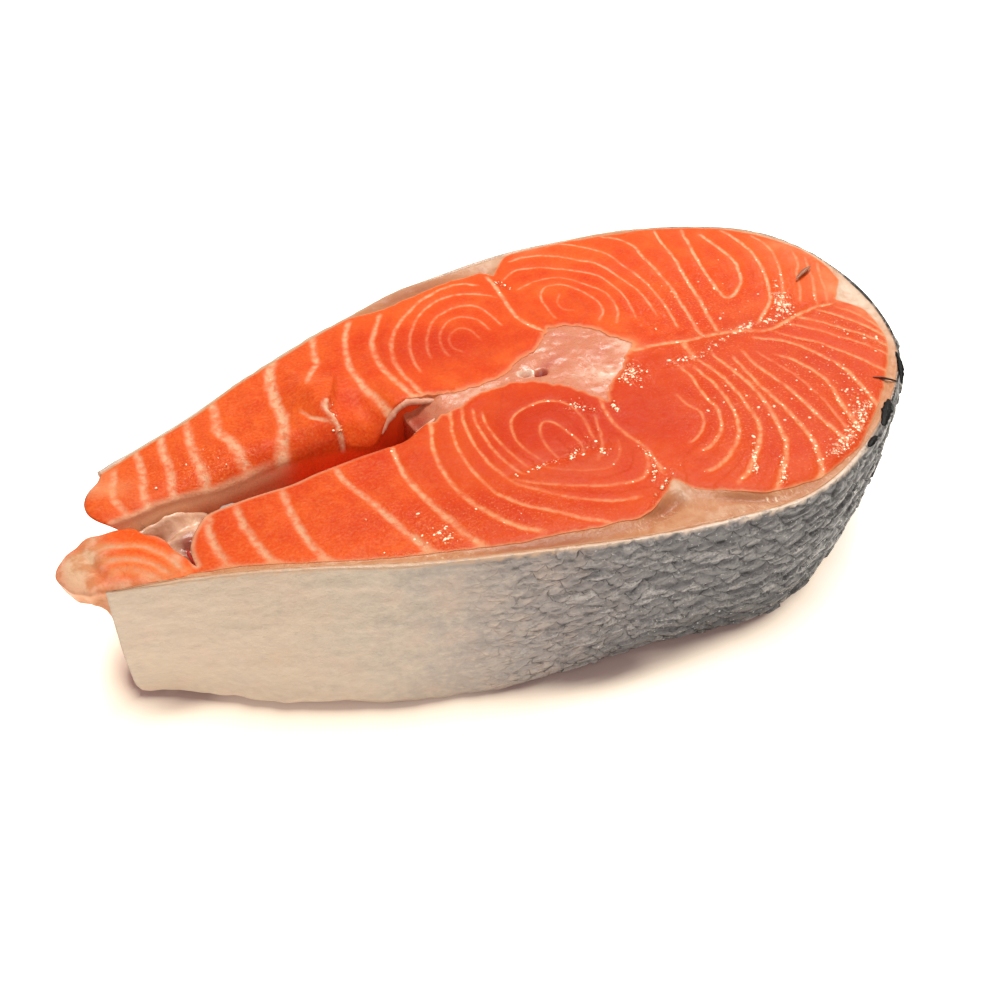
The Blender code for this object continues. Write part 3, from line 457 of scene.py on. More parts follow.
BLOOD_SPOTS = ((0.45, 9.5, 5.0, 1.8, 0.8, 25), (0.8, -20.0, 3.2, 2.4, 2.6, 0))

# The lining's folds as lumps, stretched, plain and creased. Then where painted shade darkens it between its
# folds and a little on its dome, and where it is pale along the far flap.
LINING_LUMPS = ((0.7, 2.2, 61.0),)
LINING_CRUMPLES = ((0.15, 1.2, 63.0),)
LINING_CREASES = ((0.9, 3.0, 65.0),)
LINING_SHADES = ((0.7, -75.0, -4.8, 2.4, 1.0, 10), (0.8, -62.5, -3.0, 3.0, 3.0, 0),
                (1.3, -70.0, -10.6, 2.2, 3.4, 0), (0.3, -70.0, -7.6, 3.6, 2.0, 30))
LINING_PALES = ((0.8, -74.0, -2.4, 8.0, 0.8, 12),)

# Clusters of wet beads: place, half length, half width, turn and number.
BEAD_CLUSTERS = (
    (22.8, -4.6, 3.6, 3.0, -60, 330), (37.0, -5.6, 4.2, 0.9, 0, 90), (45.0, -3.6, 5.0, 0.9, 18, 60),
    (55.0, -1.2, 5.0, 1.3, 0, 110), (66.0, 3.2, 6.0, 1.5, 62, 330), (61.0, -1.0, 4.0, 0.8, 20, 60),
    (57.5, -36.8, 6.4, 2.4, 50, 420), (48.5, -42.0, 5.0, 1.6, 20, 260), (31.0, -38.6, 3.6, 0.4, 60, 110),
    (34.5, -43.0, 5.4, 0.5, 58, 130), (42.5, -43.0, 4.0, 0.5, 66, 120), (8.6, -40.0, 6.6, 0.6, 40, 190),
    (8.0, -10.2, 2.0, 1.4, -40, 50), (2.4, -21.6, 3.4, 0.8, 30, 60), (6.6, -23.6, 1.2, 1.2, 0, 24),
    (-5.4, -22.4, 3.4, 0.45, 5, 80), (14.2, -28.6, 0.6, 3.4, 0, 70), (12.6, -33.0, 2.4, 0.5, 60, 40),
    (-30.0, -31.6, 3.0, 2.2, -30, 90), (-34.0, -34.6, 6.0, 0.6, -20, 60), (15.0, -11.6, 0.8, 2.6, 0, 50),
    (10.6, -12.8, 1.0, 1.0, 0, 14), (-35.6, 9.0, 0.9, 3.2, -18, 46), (-36.0, 3.4, 0.8, 4.0, 0, 60),
    (-62.0, 6.0, 9.0, 4.0, 0, 12), (75.0, -14.0, 3.0, 8.0, 20, 70), (60.0, -24.0, 8.0, 9.0, 0, 90),
    (18.0, 14.0, 1.6, 0.5, 20, 14), (-70.0, -2.6, 6.0, 1.0, 0, 16), (40.0, -26.0, 12.0, 12.0, 0, 60),
    (50.0, 10.0, 14.0, 10.0, 0, 60), (-20.0, -30.0, 16.0, 5.0, -20, 30), (14.6, 36.6, 2.0, 0.5, -70, 26),
)
# Sheets that carry beads: the sheet's number, from and to along it, and how many beads.
BEAD_SHEETS = (
    (3, 0.7, 1.0, 20), (4, 0.0, 0.1, 8), (9, 0.6, 1.0, 46), (11, 0.5, 1.0, 10), (12, 0.0, 1.0, 16),
    (13, 0.5, 1.0, 22), (14, 0.5, 1.0, 22), (15, 0.0, 1.0, 40), (17, 0.4, 1.0, 22), (18, 0.4, 1.0, 34),
    (19, 0.2, 1.0, 60), (20, 0.3, 1.0, 60), (21, 0.3, 1.0, 60), (22, 0.3, 1.0, 46), (24, 0.3, 1.0, 40),
    (25, 0.5, 1.0, 26), (31, 0.0, 1.0, 44), (33, 0.3, 1.0, 26), (34, 0.2, 0.8, 26), (35, 0.3, 1.0, 30),
    (36, 0.4, 1.0, 14), (38, 0.3, 1.0, 16), (40, 0.3, 1.0, 20), (41, 0.3, 1.0, 12), (47, 0.2, 0.9, 26),
    (55, 0.0, 1.0, 8), (57, 0.0, 1.0, 10),
)
# The face is wet round the clusters, and has painted glints there.
WETS_AND_GLINTS = [(1.2, x, y, 1.3 * long, 1.5 * wide, turn) for x, y, long, wide, turn, _ in BEAD_CLUSTERS]
# Sides of a bead, how many of each cluster's number are made, and how far they spread over it and off a
# sheet.
BEAD_SIDES = 7
BEAD_SHARE = 0.8
BEAD_SPREAD = 0.6
SHEET_BEAD_SPREAD = 0.16
# A bead's rings: their size and height, as shares of the bead's own.
BEAD_RINGS = ((1.0, -0.12 * 1.6), (0.8, 0.14 * 1.6), (0.42, 0.30 * 1.6))
# The least size of a bead, what the largest have more, and how rare those are.
BEAD_SIZES = (0.07, 0.27, 2.4)

# Small strands: path points (x, y, height over the rim), half width and half thickness. First the frayed
# bits of black skin at the back.
TATTERS = (
    (((67.0, -27.2, 0.35), (68.8, -28.6, 0.45), (71.0, -30.2, 0.0)), 0.32, 0.12),
    (((71.4, -31.0, -0.2), (73.6, -28.0, 0.05), (75.6, -24.8, 0.05), (77.4, -21.4, -0.2)), 0.6, 0.2),
    (((59.6, -40.4, -0.2), (61.4, -38.6, 0.1), (63.6, -36.4, 0.15), (65.6, -34.2, -0.2)), 1.0, 0.25),
    (((53.2, -44.2, -0.2), (54.8, -43.3, 0.1), (56.6, -42.2, -0.2)), 0.8, 0.22),
)
# The dark sliver near the back, and the silvery scrap in the open belly's mouth.
SLIVER = (
    (((73.8, 9.2, 0.9), (76.6, 10.6, 1.1), (79.6, 12.0, 0.9)), 0.5, 0.16),
)
SCRAP = (
    (((-63.8, -3.4, -5.0), (-62.2, -2.8, -4.3), (-60.2, -2.6, -4.2), (-58.2, -2.4, -4.8)), 0.9, 0.14),
)
# The dark, bloody cut between the lobe and the near flap.
CRACK = (
    (((-71.2, -12.8, -2.2), (-71.6, -15.6, -1.0), (-71.3, -18.6, -0.5), (-70.9, -20.8, -0.3)), 0.34, 0.3),
)
# Pale tissue from the flaps' inner walls to the backbone's front.
TISSUE = (
    (((-27.2, 4.9, -2.4), (-25.0, 6.1, -1.5), (-22.6, 7.0, -0.9), (-20.2, 7.3, -0.7), (-17.4, 6.5, -1.0),
      (-14.0, 5.2, -1.1)), 1.2, 0.7),
    (((-17.0, 1.6, -1.8), (-19.0, 0.6, -2.1), (-21.4, -1.0, -1.8), (-24.4, -3.2, -1.0)), 0.7, 0.5),
)

RANDOM = np.random.default_rng(7)


# ---------------------------------------------------------------- curves

def smooth(rows, step):
    """Points about a step apart on a smooth curve through the rows, its two ends included."""
    knots = np.array(rows, float)
    padded = np.vstack([2 * knots[0] - knots[1], knots, 2 * knots[-1] - knots[-2]])
    fine = [knots[:1]]
    for a, b, c, d in zip(padded, padded[1:], padded[2:], padded[3:]):
        t = np.linspace(0, 1, 25)[1:, None]
        bend = (2 * a - 5 * b + 4 * c - d) * t**2 + (3 * b - 3 * c + d - a) * t**3
        fine.append(b + 0.5 * ((c - a) * t + bend))
    fine = np.vstack(fine)
    along = run_length(fine)
    count = max(2, round(along[-1] / step) + 1)
    return resample(fine, along, np.linspace(0, along[-1], count))


def run_length(path):
    """How far along a path each of its points is."""
    return np.concatenate([[0], np.cumsum(np.hypot(*np.diff(path[:, :2], axis=0).T))])


def resample(path, along, at):
    """The path's columns at other lengths along it."""
    return np.stack([np.interp(at, along, column) for column in path.T], 1)


def outward(path, closed=False):
    """The sideways direction at each point of a path that runs anticlockwise."""
    run = np.roll(path, -1, 0) - np.roll(path, 1, 0) if closed else np.gradient(path, axis=0)
    side = np.stack([run[:, 1], -run[:, 0]], 1)
    return side / np.maximum(np.linalg.norm(side, axis=1, keepdims=True), 1e-9)


def ease(table, at):
    """A value read from a short table of (where, value), with soft turns between its rows."""
    where, value = np.array(table, float).T
    nearby = np.linspace(-0.02, 0.02, 9)
    return np.mean([np.interp(at + shift, where, value) for shift in nearby], 0)


def share_at(table, height):
    """How much of a piece's sideways sway it has at a height."""
    return np.interp(height, *np.array(table).T)


def soft_step(low, high, value):
    """Nought below low, one above high, and a soft turn between them."""
    share = np.clip((value - low) / (high - low), 0, 1)
    return share * share * (3 - 2 * share)


def inside(points, outline):
    """Which of the points lie inside a closed outline."""
    ax, ay = outline.T
    bx, by = np.roll(ax, -1), np.roll(ay, -1)
    odd = np.zeros(len(points), bool)
    for x0, y0, x1, y1 in zip(ax, ay, bx, by):
        if y0 != y1:
            crosses = (y0 > points[:, 1]) != (y1 > points[:, 1])
            odd ^= crosses & (points[:, 0] < x0 + (points[:, 1] - y0) * (x1 - x0) / (y1 - y0))
    return odd


def nearest(points, path, closed=False):
    """How far each point is from a path, and how far along the path the nearest place is."""
    ends = np.roll(path, -1, 0) if closed else path[1:]
    best, place, start = np.full(len(points), np.inf), np.zeros(len(points)), 0.0
    for a, b in zip(path, ends):
        run = b - a
        length = max(math.hypot(*run), 1e-9)
        share = np.clip(((points - a) @ run) / length**2, 0, 1)
        gap = ((points - a - share[:, None] * run)**2).sum(1)
        place = np.where(gap < best, start + share * length, place)
        best = np.minimum(best, gap)
        start += length
    return np.sqrt(best), place


def distance(points, path, closed=False):
    """How far each point is from a path."""
    return nearest(points, path, closed)[0]


def close_to(points, line, reach):
    """Numbers of the points in a line's box, with some reach round it."""
    low, high = line.min(0) - reach, line.max(0) + reach
    return np.flatnonzero(((points > low) & (points < high)).all(1))


def away_from(points, others, room):
    """The points that have some room to all of the others."""
    if not len(points) or not len(others):
        return points
    return points[np.sqrt(((points[:, None] - others[None])**2).sum(2)).min(1) > room]


def hex_grid(outline, step):
    """Points of a grid of even triangles that lie inside an outline."""
    low, high = outline.min(0), outline.max(0)
    x, y = np.meshgrid(np.arange(low[0], high[0], step), np.arange(low[1], high[1], step * 0.866))
    x = x + (np.arange(len(x)) % 2 * step / 2)[:, None]
    points = np.column_stack([x.ravel(), y.ravel()])
    return points[inside(points, outline)]


def filled(outline, step, room):
    """The same, with some room to the outline."""
    points = hex_grid(outline, step)
    return points[distance(points, outline, closed=True) > room]


def rough(points, size, seed):
    """Smooth noise between about -1 and 1 at points, for lumps of a size."""
    scaled = np.zeros((len(points), 3))
    scaled[:, :points.shape[1]] = points
    scaled = scaled / size + seed
    return np.array([noise.noise(Vector(p)) for p in scaled])


def lumps(points, rows):
    """Several such noises in one: how strong each is, its size and its seed."""
    return sum(strength * rough(points, size, seed) for strength, size, seed in rows)


def turned(along, across, angle):
    """Two lengths, turned by an angle."""
    c, s = math.cos(angle), math.sin(angle)
    return along * c - across * s, along * s + across * c


def mound(x, y, height, at_x, at_y, half_length, half_width, turn):
    """A smooth mound, or a hollow if its height is below nought, turned by some degrees."""
    along, across = turned(x - at_x, y - at_y, -math.radians(turn))
    return height * np.exp(-((along / half_length)**2 + (across / half_width)**2))


def mounds(points, rows):
    """The sum of some mounds at points."""
    return sum(mound(points[:, 0], points[:, 1], *row) for row in rows)


def spots(points, rows):
    """The same, kept between nought and one."""
    return np.clip(mounds(points, rows), 0, 1)


# ---------------------------------------------------------------- the slice

class Flank:
    """The outer wall: stations along the skin's upper edge, and where each stands at any depth and height."""

    def __init__(self, step):
        self.edge = smooth(FLANK, step)
        self.side = outward(self.edge)
        self.along = run_length(self.edge)
        self.share = np.linspace(0, 1, len(self.edge))
        self.slide = FAR_SLIDE * np.clip((self.share - FAR_SLIDE_SHARE) / (1 - FAR_SLIDE_SHARE), 0, 1)
        self.inset = ease(FOOT_INSET, self.share)
        self.inset += lumps(self.edge, FOOT_LUMPS) * soft_step(0, 0.03, self.share)
        self.skin = ease(SKIN_DEPTH, self.share)
        wall = smooth(FLANK, EVEN_STEP)
        depth, place = nearest(on_face(MUSCLE_EDGE, MUSCLE_EDGE_DROP), wall)
        order = np.argsort(place)
        self.muscle = np.interp(self.share * run_length(wall)[-1], place[order], depth[order])
        self.muscle += lumps(self.edge, MUSCLE_LUMPS) * soft_step(1.2, 3.0, self.muscle)
        self.muscle = np.maximum(self.muscle, MUSCLE_LEAST)

    def at(self, depth, height):
        """The wall at one height, moved in from the skin's outside by a depth."""
        bulge = FLANK_BULGE * math.sin(math.pi * min(1, height / THICKNESS))
        foot = FOOT_ROUNDING * max(0, 1 - height / FOOT_HEIGHT)**2
        out = bulge - self.inset * (1 - min(height, THICKNESS) / THICKNESS)**1.2 - foot - depth
        back = self.slide * share_at(FAR_TUCK, height)
        onward = np.column_stack([-self.side[:, 1], self.side[:, 0]])
        return self.edge + self.side * np.reshape(out, (-1, 1)) - onward * back[:, None]

    def tucked(self, depth, height):
        """The same for flesh and fat, which draw in at the foot."""
        return self.at(depth + FOOT_TUCK * max(0, 1 - height / TUCK_HEIGHT)**1.5, height)


def face_height(x, y):
    """Height of the upper cut face, before its grooves."""
    z = THICKNESS + FACE_RISE + sum(h * np.sin(kx * x + ky * y + phase) for h, kx, ky, phase in WAVES)
    lobe = np.clip((LOBE_DROP_FROM - x) / DROP_LENGTH, 0, 1) * (y < MOUTH_MIDDLE)
    flap = np.clip((FLAP_DROP_FROM - x) / DROP_LENGTH, 0, 1)
    return z - LOBE_DROP * lobe**1.5 - FLAP_DROP * flap + sum(mound(x, y, *row) for row in FACE_MOUNDS)


def rim_height(x, y):
    """Height of the cut face's edge, below its shoulder."""
    return face_height(x, y) - SHOULDER_DROP


def on_face(places, drop=0.0):
    """Where pixels of the photograph fall on the cut face, or on a level that is lower by a drop."""
    aim = np.array(CAMERA_AIM)
    right = np.cross(aim, (0, 0, 1))
    right /= np.linalg.norm(right)
    across, down = np.array(places, float).T - FRAME / 2
    ray = aim * FRAME * LENS / SENSOR + across[:, None] * right - down[:, None] * np.cross(right, aim)
    z = np.full(len(ray), THICKNESS + FACE_RISE)
    for _ in range(6):
        place = CAMERA_PLACE[:2] + ray[:, :2] * ((z - CAMERA_PLACE[2]) / ray[:, 2])[:, None]
        z = face_height(*place.T) - drop
    return place


def corner_rounded(points):
    """Points of the near flap moved along the flank, so that its lower corner is round."""
    start, onward = np.array(FLANK[0]), np.subtract(FLANK[1], FLANK[0])
    onward = onward / np.linalg.norm(onward)
    along = (points[:, :2] - start) @ onward
    low = np.clip(1 - points[:, 2] / CORNER_HEIGHT, 0, 1)
    push = CORNER_LENGTH * (1 - np.sqrt(1 - 0.98 * low**2)) * np.clip(1 - along / CORNER_REACH, 0, 1)
    moved = points.copy()
    moved[:, :2] += (push * (points[:, 1] < MOUTH_MIDDLE))[:, None] * onward
    return moved


def lifted(height, rim):
    """A level's height where the rim isn't at the even thickness: only the top of the wall moves with it."""
    return height + (rim - THICKNESS) * np.clip((height - WALL_TOP) / (THICKNESS - WALL_TOP), 0, 1)


def sheet_paths():
    """Each sheet's half widths, strength and line, with small waves."""
    found = []
    for first, last, strength, *path in SHEETS:
        line = smooth(on_face(path), SHEET_STEP)
        stray = np.column_stack([lumps(line, rows) for rows in SHEET_STRAYS])
        found.append((first, last, strength, line + stray))
    return found


def layers(points):
    """The sheets, measured at points: distance from the nearest, its half width there, how strong it is, and
    how far along it that is."""
    found = {"sheet": np.full(len(points), SHEET_REACH), "sheet_width": np.full(len(points), 0.2),
             "show": np.zeros(len(points)), "run": np.zeros(len(points))}
    for first, last, strength, line in sheet_paths():
        coarse = line[::2] if len(line) % 2 else np.vstack([line[::2], line[-1:]])
        close = close_to(points, line, SHEET_REACH)
        gap, place = nearest(points[close], coarse)
        nearer = gap < found["sheet"][close]
        close, gap, place = close[nearer], gap[nearer], place[nearer]
        length = run_length(coarse)[-1]
        found["sheet"][close] = gap
        found["sheet_width"][close] = first + (last - first) * place / length
        found["show"][close] = strength * np.clip(0.3 + np.minimum(place, length - place) / 1.6, 0, 1)
        found["run"][close] = place
    return found


def groove_depth(found):
    """How deep the sheets' grooves are where the sheets were measured."""
    reach = GROOVE_REACH + found["sheet_width"]
    groove = GROOVE * np.exp(-(found["sheet"] / reach)**2) + VALLEY * np.exp(-found["sheet"] / VALLEY_REACH)
    return groove * found["show"]


def spine_outline(step):
    """The flesh's edge round the backbone, from the far side of the open belly to its near side."""
    strokes = ((FAR_INNER[-1], *SPINE_TOP), (SPINE_TOP[-1], *SPINE_BACK), (SPINE_BACK[-1], *SPINE_NEAR),
               (SPINE_NEAR[-1], *SPINE_BOTTOM))
    return np.vstack([np.array([FAR_INNER[-1]]), *[smooth(stroke, step)[1:] for stroke in strokes]])


def inner_outline(flank_end, flank_start, step):
    """The flesh's edge on the side of the open belly, with the number of the stroke that each point is of."""
    strokes = ((flank_end, *FAR_TIP), (FAR_TIP[-1], *FAR_INNER), None,
               (SPINE_BOTTOM[-1], *NEAR_INNER, *NEAR_END), (NEAR_END[-1], *LOBE_SIDE, *LOBE_TIP),
               (LOBE_TIP[-1], *LOBE_FOOT), (LOBE_FOOT[-1], flank_start))
    paths = [spine_outline(step)[1:] if stroke is None else smooth(stroke, step)[1:] for stroke in strokes]
    number = np.concatenate([np.full(len(path), i) for i, path in enumerate(paths)])
    return np.vstack(paths)[:-1], number[:-1]


# ---------------------------------------------------------------- meshes

# Plan points are shifted so that the skin's own box is the skin's in the frame.
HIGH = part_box("skin")[1]
SHIFT = np.array([HIGH.x / MM - SKIN_HIGH[0], HIGH.y / MM - SKIN_HIGH[1], 0.0])


def in_frame(points):
    """Plan points, in millimetres, as points of the frame, in metres."""
    return (np.asarray(points, float) + SHIFT) * MM


def at_height(points, z):
    """Points of the plan at a height, which is one value or one for each."""
    return np.column_stack([points, np.broadcast_to(z, len(points))])


def cap(outline, within=np.zeros((0, 2))):
    """Triangles over a closed outline and the points within it, as numbers into the two put together."""
    points = [Vector(p) for p in np.vstack([outline, within])]
    edges = [(i, (i + 1) % len(outline)) for i in range(len(outline))]
    _, _, triangles, before, _, _ = delaunay_2d_cdt(points, edges, [], 1, 1e-6)
    return [[before[corner][0] for corner in triangle] for triangle in triangles]


def numbered(triangles, count, loop, rest):
    """A cap's triangles by the whole mesh's numbers: its outline's points start at one number, and those
    within it at another."""
    return [[loop + i if i < count else rest + i - count for i in triangle] for triangle in triangles]


def walls(count, levels, closed=True):
    """The side faces between loops one above the other."""
    faces = []
    for level in range(levels - 1):
        low, high = level * count, (level + 1) * count
        for i in range(count if closed else count - 1):
            j = (i + 1) % count
            faces.append((low + i, low + j, high + j, high + i))
    return faces


def tube(rings):
    """Points and faces of rings one after the other, closed at both ends."""
    sides, last = len(rings[0]), len(rings[0]) * (len(rings) - 1)
    ends = [tuple(range(sides))[::-1], tuple(last + i for i in range(sides))]
    return np.vstack(rings), walls(sides, len(rings)) + ends


def block(outline, within, heights, outline_z, within_z):
    """Points and faces of an upright block: its outline at some plain heights, then the edge and inside of its
    modelled top."""
    count, top = len(outline), len(outline) * len(heights)
    loops = [at_height(outline, z) for z in (*heights, outline_z)]
    faces = walls(count, len(loops)) + [t[::-1] for t in cap(outline)]
    faces += numbered(cap(outline, within), count, top, top + count)
    return np.vstack([*loops, at_height(within, within_z)]), faces


def mesh_of(name, points, faces, fields, finish):
    """A mesh from plan points, with its fields as attributes that its finish reads."""
    mesh = bpy.data.meshes.new(name)
    mesh.from_pydata(in_frame(points).tolist(), [], [tuple(int(i) for i in face) for face in faces])
    for key, values in fields.items():
        mesh.attributes.new(key, "FLOAT", "POINT").data.foreach_set("value", np.asarray(values, np.float32))
    mesh.materials.append(finish)
    return mesh


def shown(name, data):
    """An object of the scene."""
    made = bpy.data.objects.new(name, data)
    bpy.context.scene.collection.objects.link(made)
    return made


def piece(name, points, faces, fields, finish, node=None, crisp=None):
    """A piece of the object. Edges between its crisp points are sharp."""
    mesh = mesh_of(name, corner_rounded(points), faces, fields, finish)
    body = bmesh.new()
    body.from_mesh(mesh)
    bmesh.ops.recalc_face_normals(body, faces=body.faces)
    for face in body.faces:
        face.smooth = True
    for edge in body.edges if crisp is not None else ():
        edge.smooth = not all(crisp[end.index] for end in edge.verts)
    body.to_mesh(mesh)
    body.free()
    made = shown(name, mesh)
    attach(made, "root")
    if node:
        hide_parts(node)
    return made


class Pieces:
    """Many small closed forms gathered into one mesh."""

    def __init__(self):
        self.points, self.faces, self.tint = [], [], []

    def add(self, points, faces, tint):
        """One more form, with its own tint."""
        first = len(self.tint)
        self.points.append(points)
        self.faces += [tuple(first + i for i in face) for face in faces]
        self.tint += [tint] * len(points)

    def made(self, name, finish, slot):
        """The piece that they make."""
        return piece(name, np.vstack(self.points), self.faces, {"tint": self.tint}, finish)


class Band:
    """A closed band: lines one beside the other round its section, each with the same stations."""

    def __init__(self):
        self.lines, self.fields = [], {}

    def add(self, path, z, **values):
        """One more line, with its fields."""
        self.lines.append(at_height(path, z))
        for key, value in values.items():
            self.fields.setdefault(key, []).append(np.broadcast_to(value, len(path)))

    def made(self, name, finish, slot, node):
        """The piece that they make."""
        stations, last = len(self.lines[0]), len(self.lines[0]) * (len(self.lines) - 1)
        faces = walls(stations, len(self.lines), closed=False)
        faces += [(last + i, last + i + 1, i + 1, i) for i in range(stations - 1)]
        start = tuple(range(0, last + 1, stations))
        faces += [start, tuple(i + stations - 1 for i in start)[::-1]]
        fields = {key: np.concatenate(values) for key, values in self.fields.items()}
        return piece(name, np.vstack(self.lines), faces, fields, finish, node)


def strand(path, across, thick, sides=8):
    """A tapering strand along a path: its half width and half thickness at each point."""
    run = np.gradient(path, axis=0)
    run /= np.linalg.norm(run, axis=1, keepdims=True)
    side = np.cross(run, (0, 0, 1))
    side /= np.maximum(np.linalg.norm(side, axis=1, keepdims=True), 1e-9)
    lift = np.cross(side, run)
    turn = np.linspace(0, 2 * math.pi, sides, endpoint=False)
    return tube([p + s * a * np.cos(turn)[:, None] + u * t * np.sin(turn)[:, None]
                 for p, s, u, a, t in zip(path, side, lift, across, thick)])


# ---------------------------------------------------------------- finishes

class Value:
    """A node's output that can stand in an expression: each operator adds a Math node."""

    def __init__(self, finish, socket):
        self.finish, self.socket = finish, socket

    def maths(self, operation, *values):
        """A Math node on some values."""
        return self.finish.add("ShaderNodeMath", {"operation": operation}, dict(enumerate(values)))

    def __add__(self, other):
        return self.maths("ADD", self, other)

    def __sub__(self, other):
        return self.maths("SUBTRACT", self, other)

    def __rsub__(self, other):
        return self.maths("SUBTRACT", other, self)

    def __mul__(self, other):
        return self.maths("MULTIPLY", self, other)

    def __truediv__(self, other):
        return self.maths("DIVIDE", self, other)

    def __abs__(self):
        return self.maths("ABSOLUTE", self)

    __radd__ = __add__
    __rmul__ = __mul__

    def least(self, other):
        """The smaller of two."""
        return self.maths("MINIMUM", self, other)

    def most(self, other):
        """The larger of two."""
        return self.maths("MAXIMUM", self, other)

    def fraction(self):
        """What is past the last whole number."""
        return self.maths("FRACT", self)

    def floor(self):
        """The last whole number."""
        return self.maths("FLOOR", self)


class Finish:
    """A material, built up by calls that add nodes to it, with the colour that it has so far."""

    def __init__(self, name, **values):
        self.material = bpy.data.materials.new(name)
        self.material.use_nodes = True
        self.tree = self.material.node_tree
        self.shader = self.tree.nodes["Principled BSDF"]
        for key, value in values.items():
            self.shader.inputs[key.replace("_", " ")].default_value = value
        self.colour = None

    def add(self, kind, settings=None, sockets=None, output=0):
        """A node of a type, with its settings, then the values or links of its sockets."""
        node = self.tree.nodes.new(kind)
        for key, value in (settings or {}).items():
            if key == "stops":
                stops = node.color_ramp.elements
                while len(stops) < len(value):
                    stops.new(0.5)
                for stop, (where, colour) in zip(stops, value):
                    stop.position, stop.color = where, (*colour, 1)
            else:
                setattr(node, key, value)
        for key, value in (sockets or {}).items():
            self.join(value, node.inputs[key])
        return Value(self, node.outputs[output])

    def join(self, value, socket):
        """A link or a plain value for a socket."""
        if isinstance(value, Value):
            self.tree.links.new(value.socket, socket)
        elif isinstance(value, tuple) and len(value) == 3 and socket.type == "RGBA":
            socket.default_value = (*value, 1)
        else:
            socket.default_value = value

    def feed(self, name, value):
        """A link or a plain value for a socket of the shader."""
        self.join(value, self.shader.inputs[name])

    def field(self, name):
        """One of the mesh's own fields."""
        return self.add("ShaderNodeAttribute", {"attribute_name": name}, output="Fac")

    def fields(self, names):
        """Several of them."""
        return [self.field(name) for name in names.split()]

    def step(self, low, high, value):
        """From nought at one value to one at another, higher or lower, with a soft turn between them."""
        return self.add("ShaderNodeMapRange", {"interpolation_type": "SMOOTHSTEP"},
                        {"Value": value, "From Min": low, "From Max": high})

    def mix(self, share, colour, other):
        """From one colour to another by a share."""
        return self.add("ShaderNodeMix", {"data_type": "RGBA", "blend_type": "MIX"},
                        {0: share, 6: colour, 7: other}, output=2)

    def over(self, share, other):
        """Turns the finish's own colour into another by a share."""
        self.colour = self.mix(share, self.colour, other)

    def ramp(self, stops, value):
        """A colour from a row of stops."""
        return self.add("ShaderNodeValToRGB", {"stops": stops}, {"Fac": value}, output="Color")

    def at(self, scale_x=1.0, scale_y=1.0, scale_z=1.0):
        """Place on the object, in millimetres times a scale."""
        place = self.add("ShaderNodeTexCoord", output="Object")
        return self.add("ShaderNodeVectorMath", {"operation": "MULTIPLY"},
                        {0: place, 1: (scale_x / MM, scale_y / MM, scale_z / MM)})

    def grain(self, size, detail=3, where=None):
        """Noise of a size in millimetres, between nought and one."""
        return self.add("ShaderNodeTexNoise", None,
                        {"Vector": where or self.at(), "Scale": 1 / size, "Detail": detail})

    def patches(self, low, high, size, detail=3, where=None):
        """Soft patches of a size in millimetres: the grain from one level to another."""
        return self.step(low, high, self.grain(size, detail, where))

    def pair(self, x, y):
        """Two values as a place."""
        return self.add("ShaderNodeCombineXYZ", None, {0: x, 1: y})

    def done(self, roughness, relief=None, distance=0.0):
        """The material, with its colour, its roughness, and its fine relief: a height from nought to one, and
        the millimetres that one stands for."""
        self.feed("Base Color", self.colour)
        self.feed("Roughness", roughness)
        if relief:
            bump = self.add("ShaderNodeBump", None, {"Height": relief, "Distance": distance * MM})
            self.feed("Normal", bump)
        return self.material


MUSCLE = (0.64, 0.052, 0.006)
MUSCLE_DEEP = (0.52, 0.028, 0.004)
MUSCLE_LIGHT = (0.72, 0.104, 0.014)
MUSCLE_SHEEN = (0.56, 0.080, 0.026)
MUSCLE_PALE = (0.74, 0.17, 0.045)
MUSCLE_NEAR = (0.49, 0.036, 0.007)
EDGE_ORANGE = (0.74, 0.17, 0.05)
EDGE_PALE = (0.76, 0.34, 0.16)
FATTY_ORANGE = (0.72, 0.25, 0.10)
FATTY_PALE = (0.68, 0.33, 0.17)
MOUTH_CREAM = (0.68, 0.34, 0.19)
SHEET_PALE = (0.74, 0.30, 0.13)
SHEET_WIDE = (0.68, 0.31, 0.165)
SHEET_FAR = (0.73, 0.36, 0.20)
FLAKE_CREAM = (0.72, 0.44, 0.28)
LINING_BEIGE = (0.84, 0.50, 0.30)
LINING_BROWN = (0.74, 0.17, 0.062)
LINING_TAN = (0.62, 0.24, 0.12)
WALL_RED = (0.86, 0.085, 0.016)
LOBE_ORANGE = (0.78, 0.20, 0.045)
LOBE_DEEP = (0.82, 0.085, 0.004)
LOBE_CREAM = (0.68, 0.41, 0.25)
LOBE_TAN = (0.54, 0.235, 0.105)
LOBE_BROWN = (0.46, 0.19, 0.085)


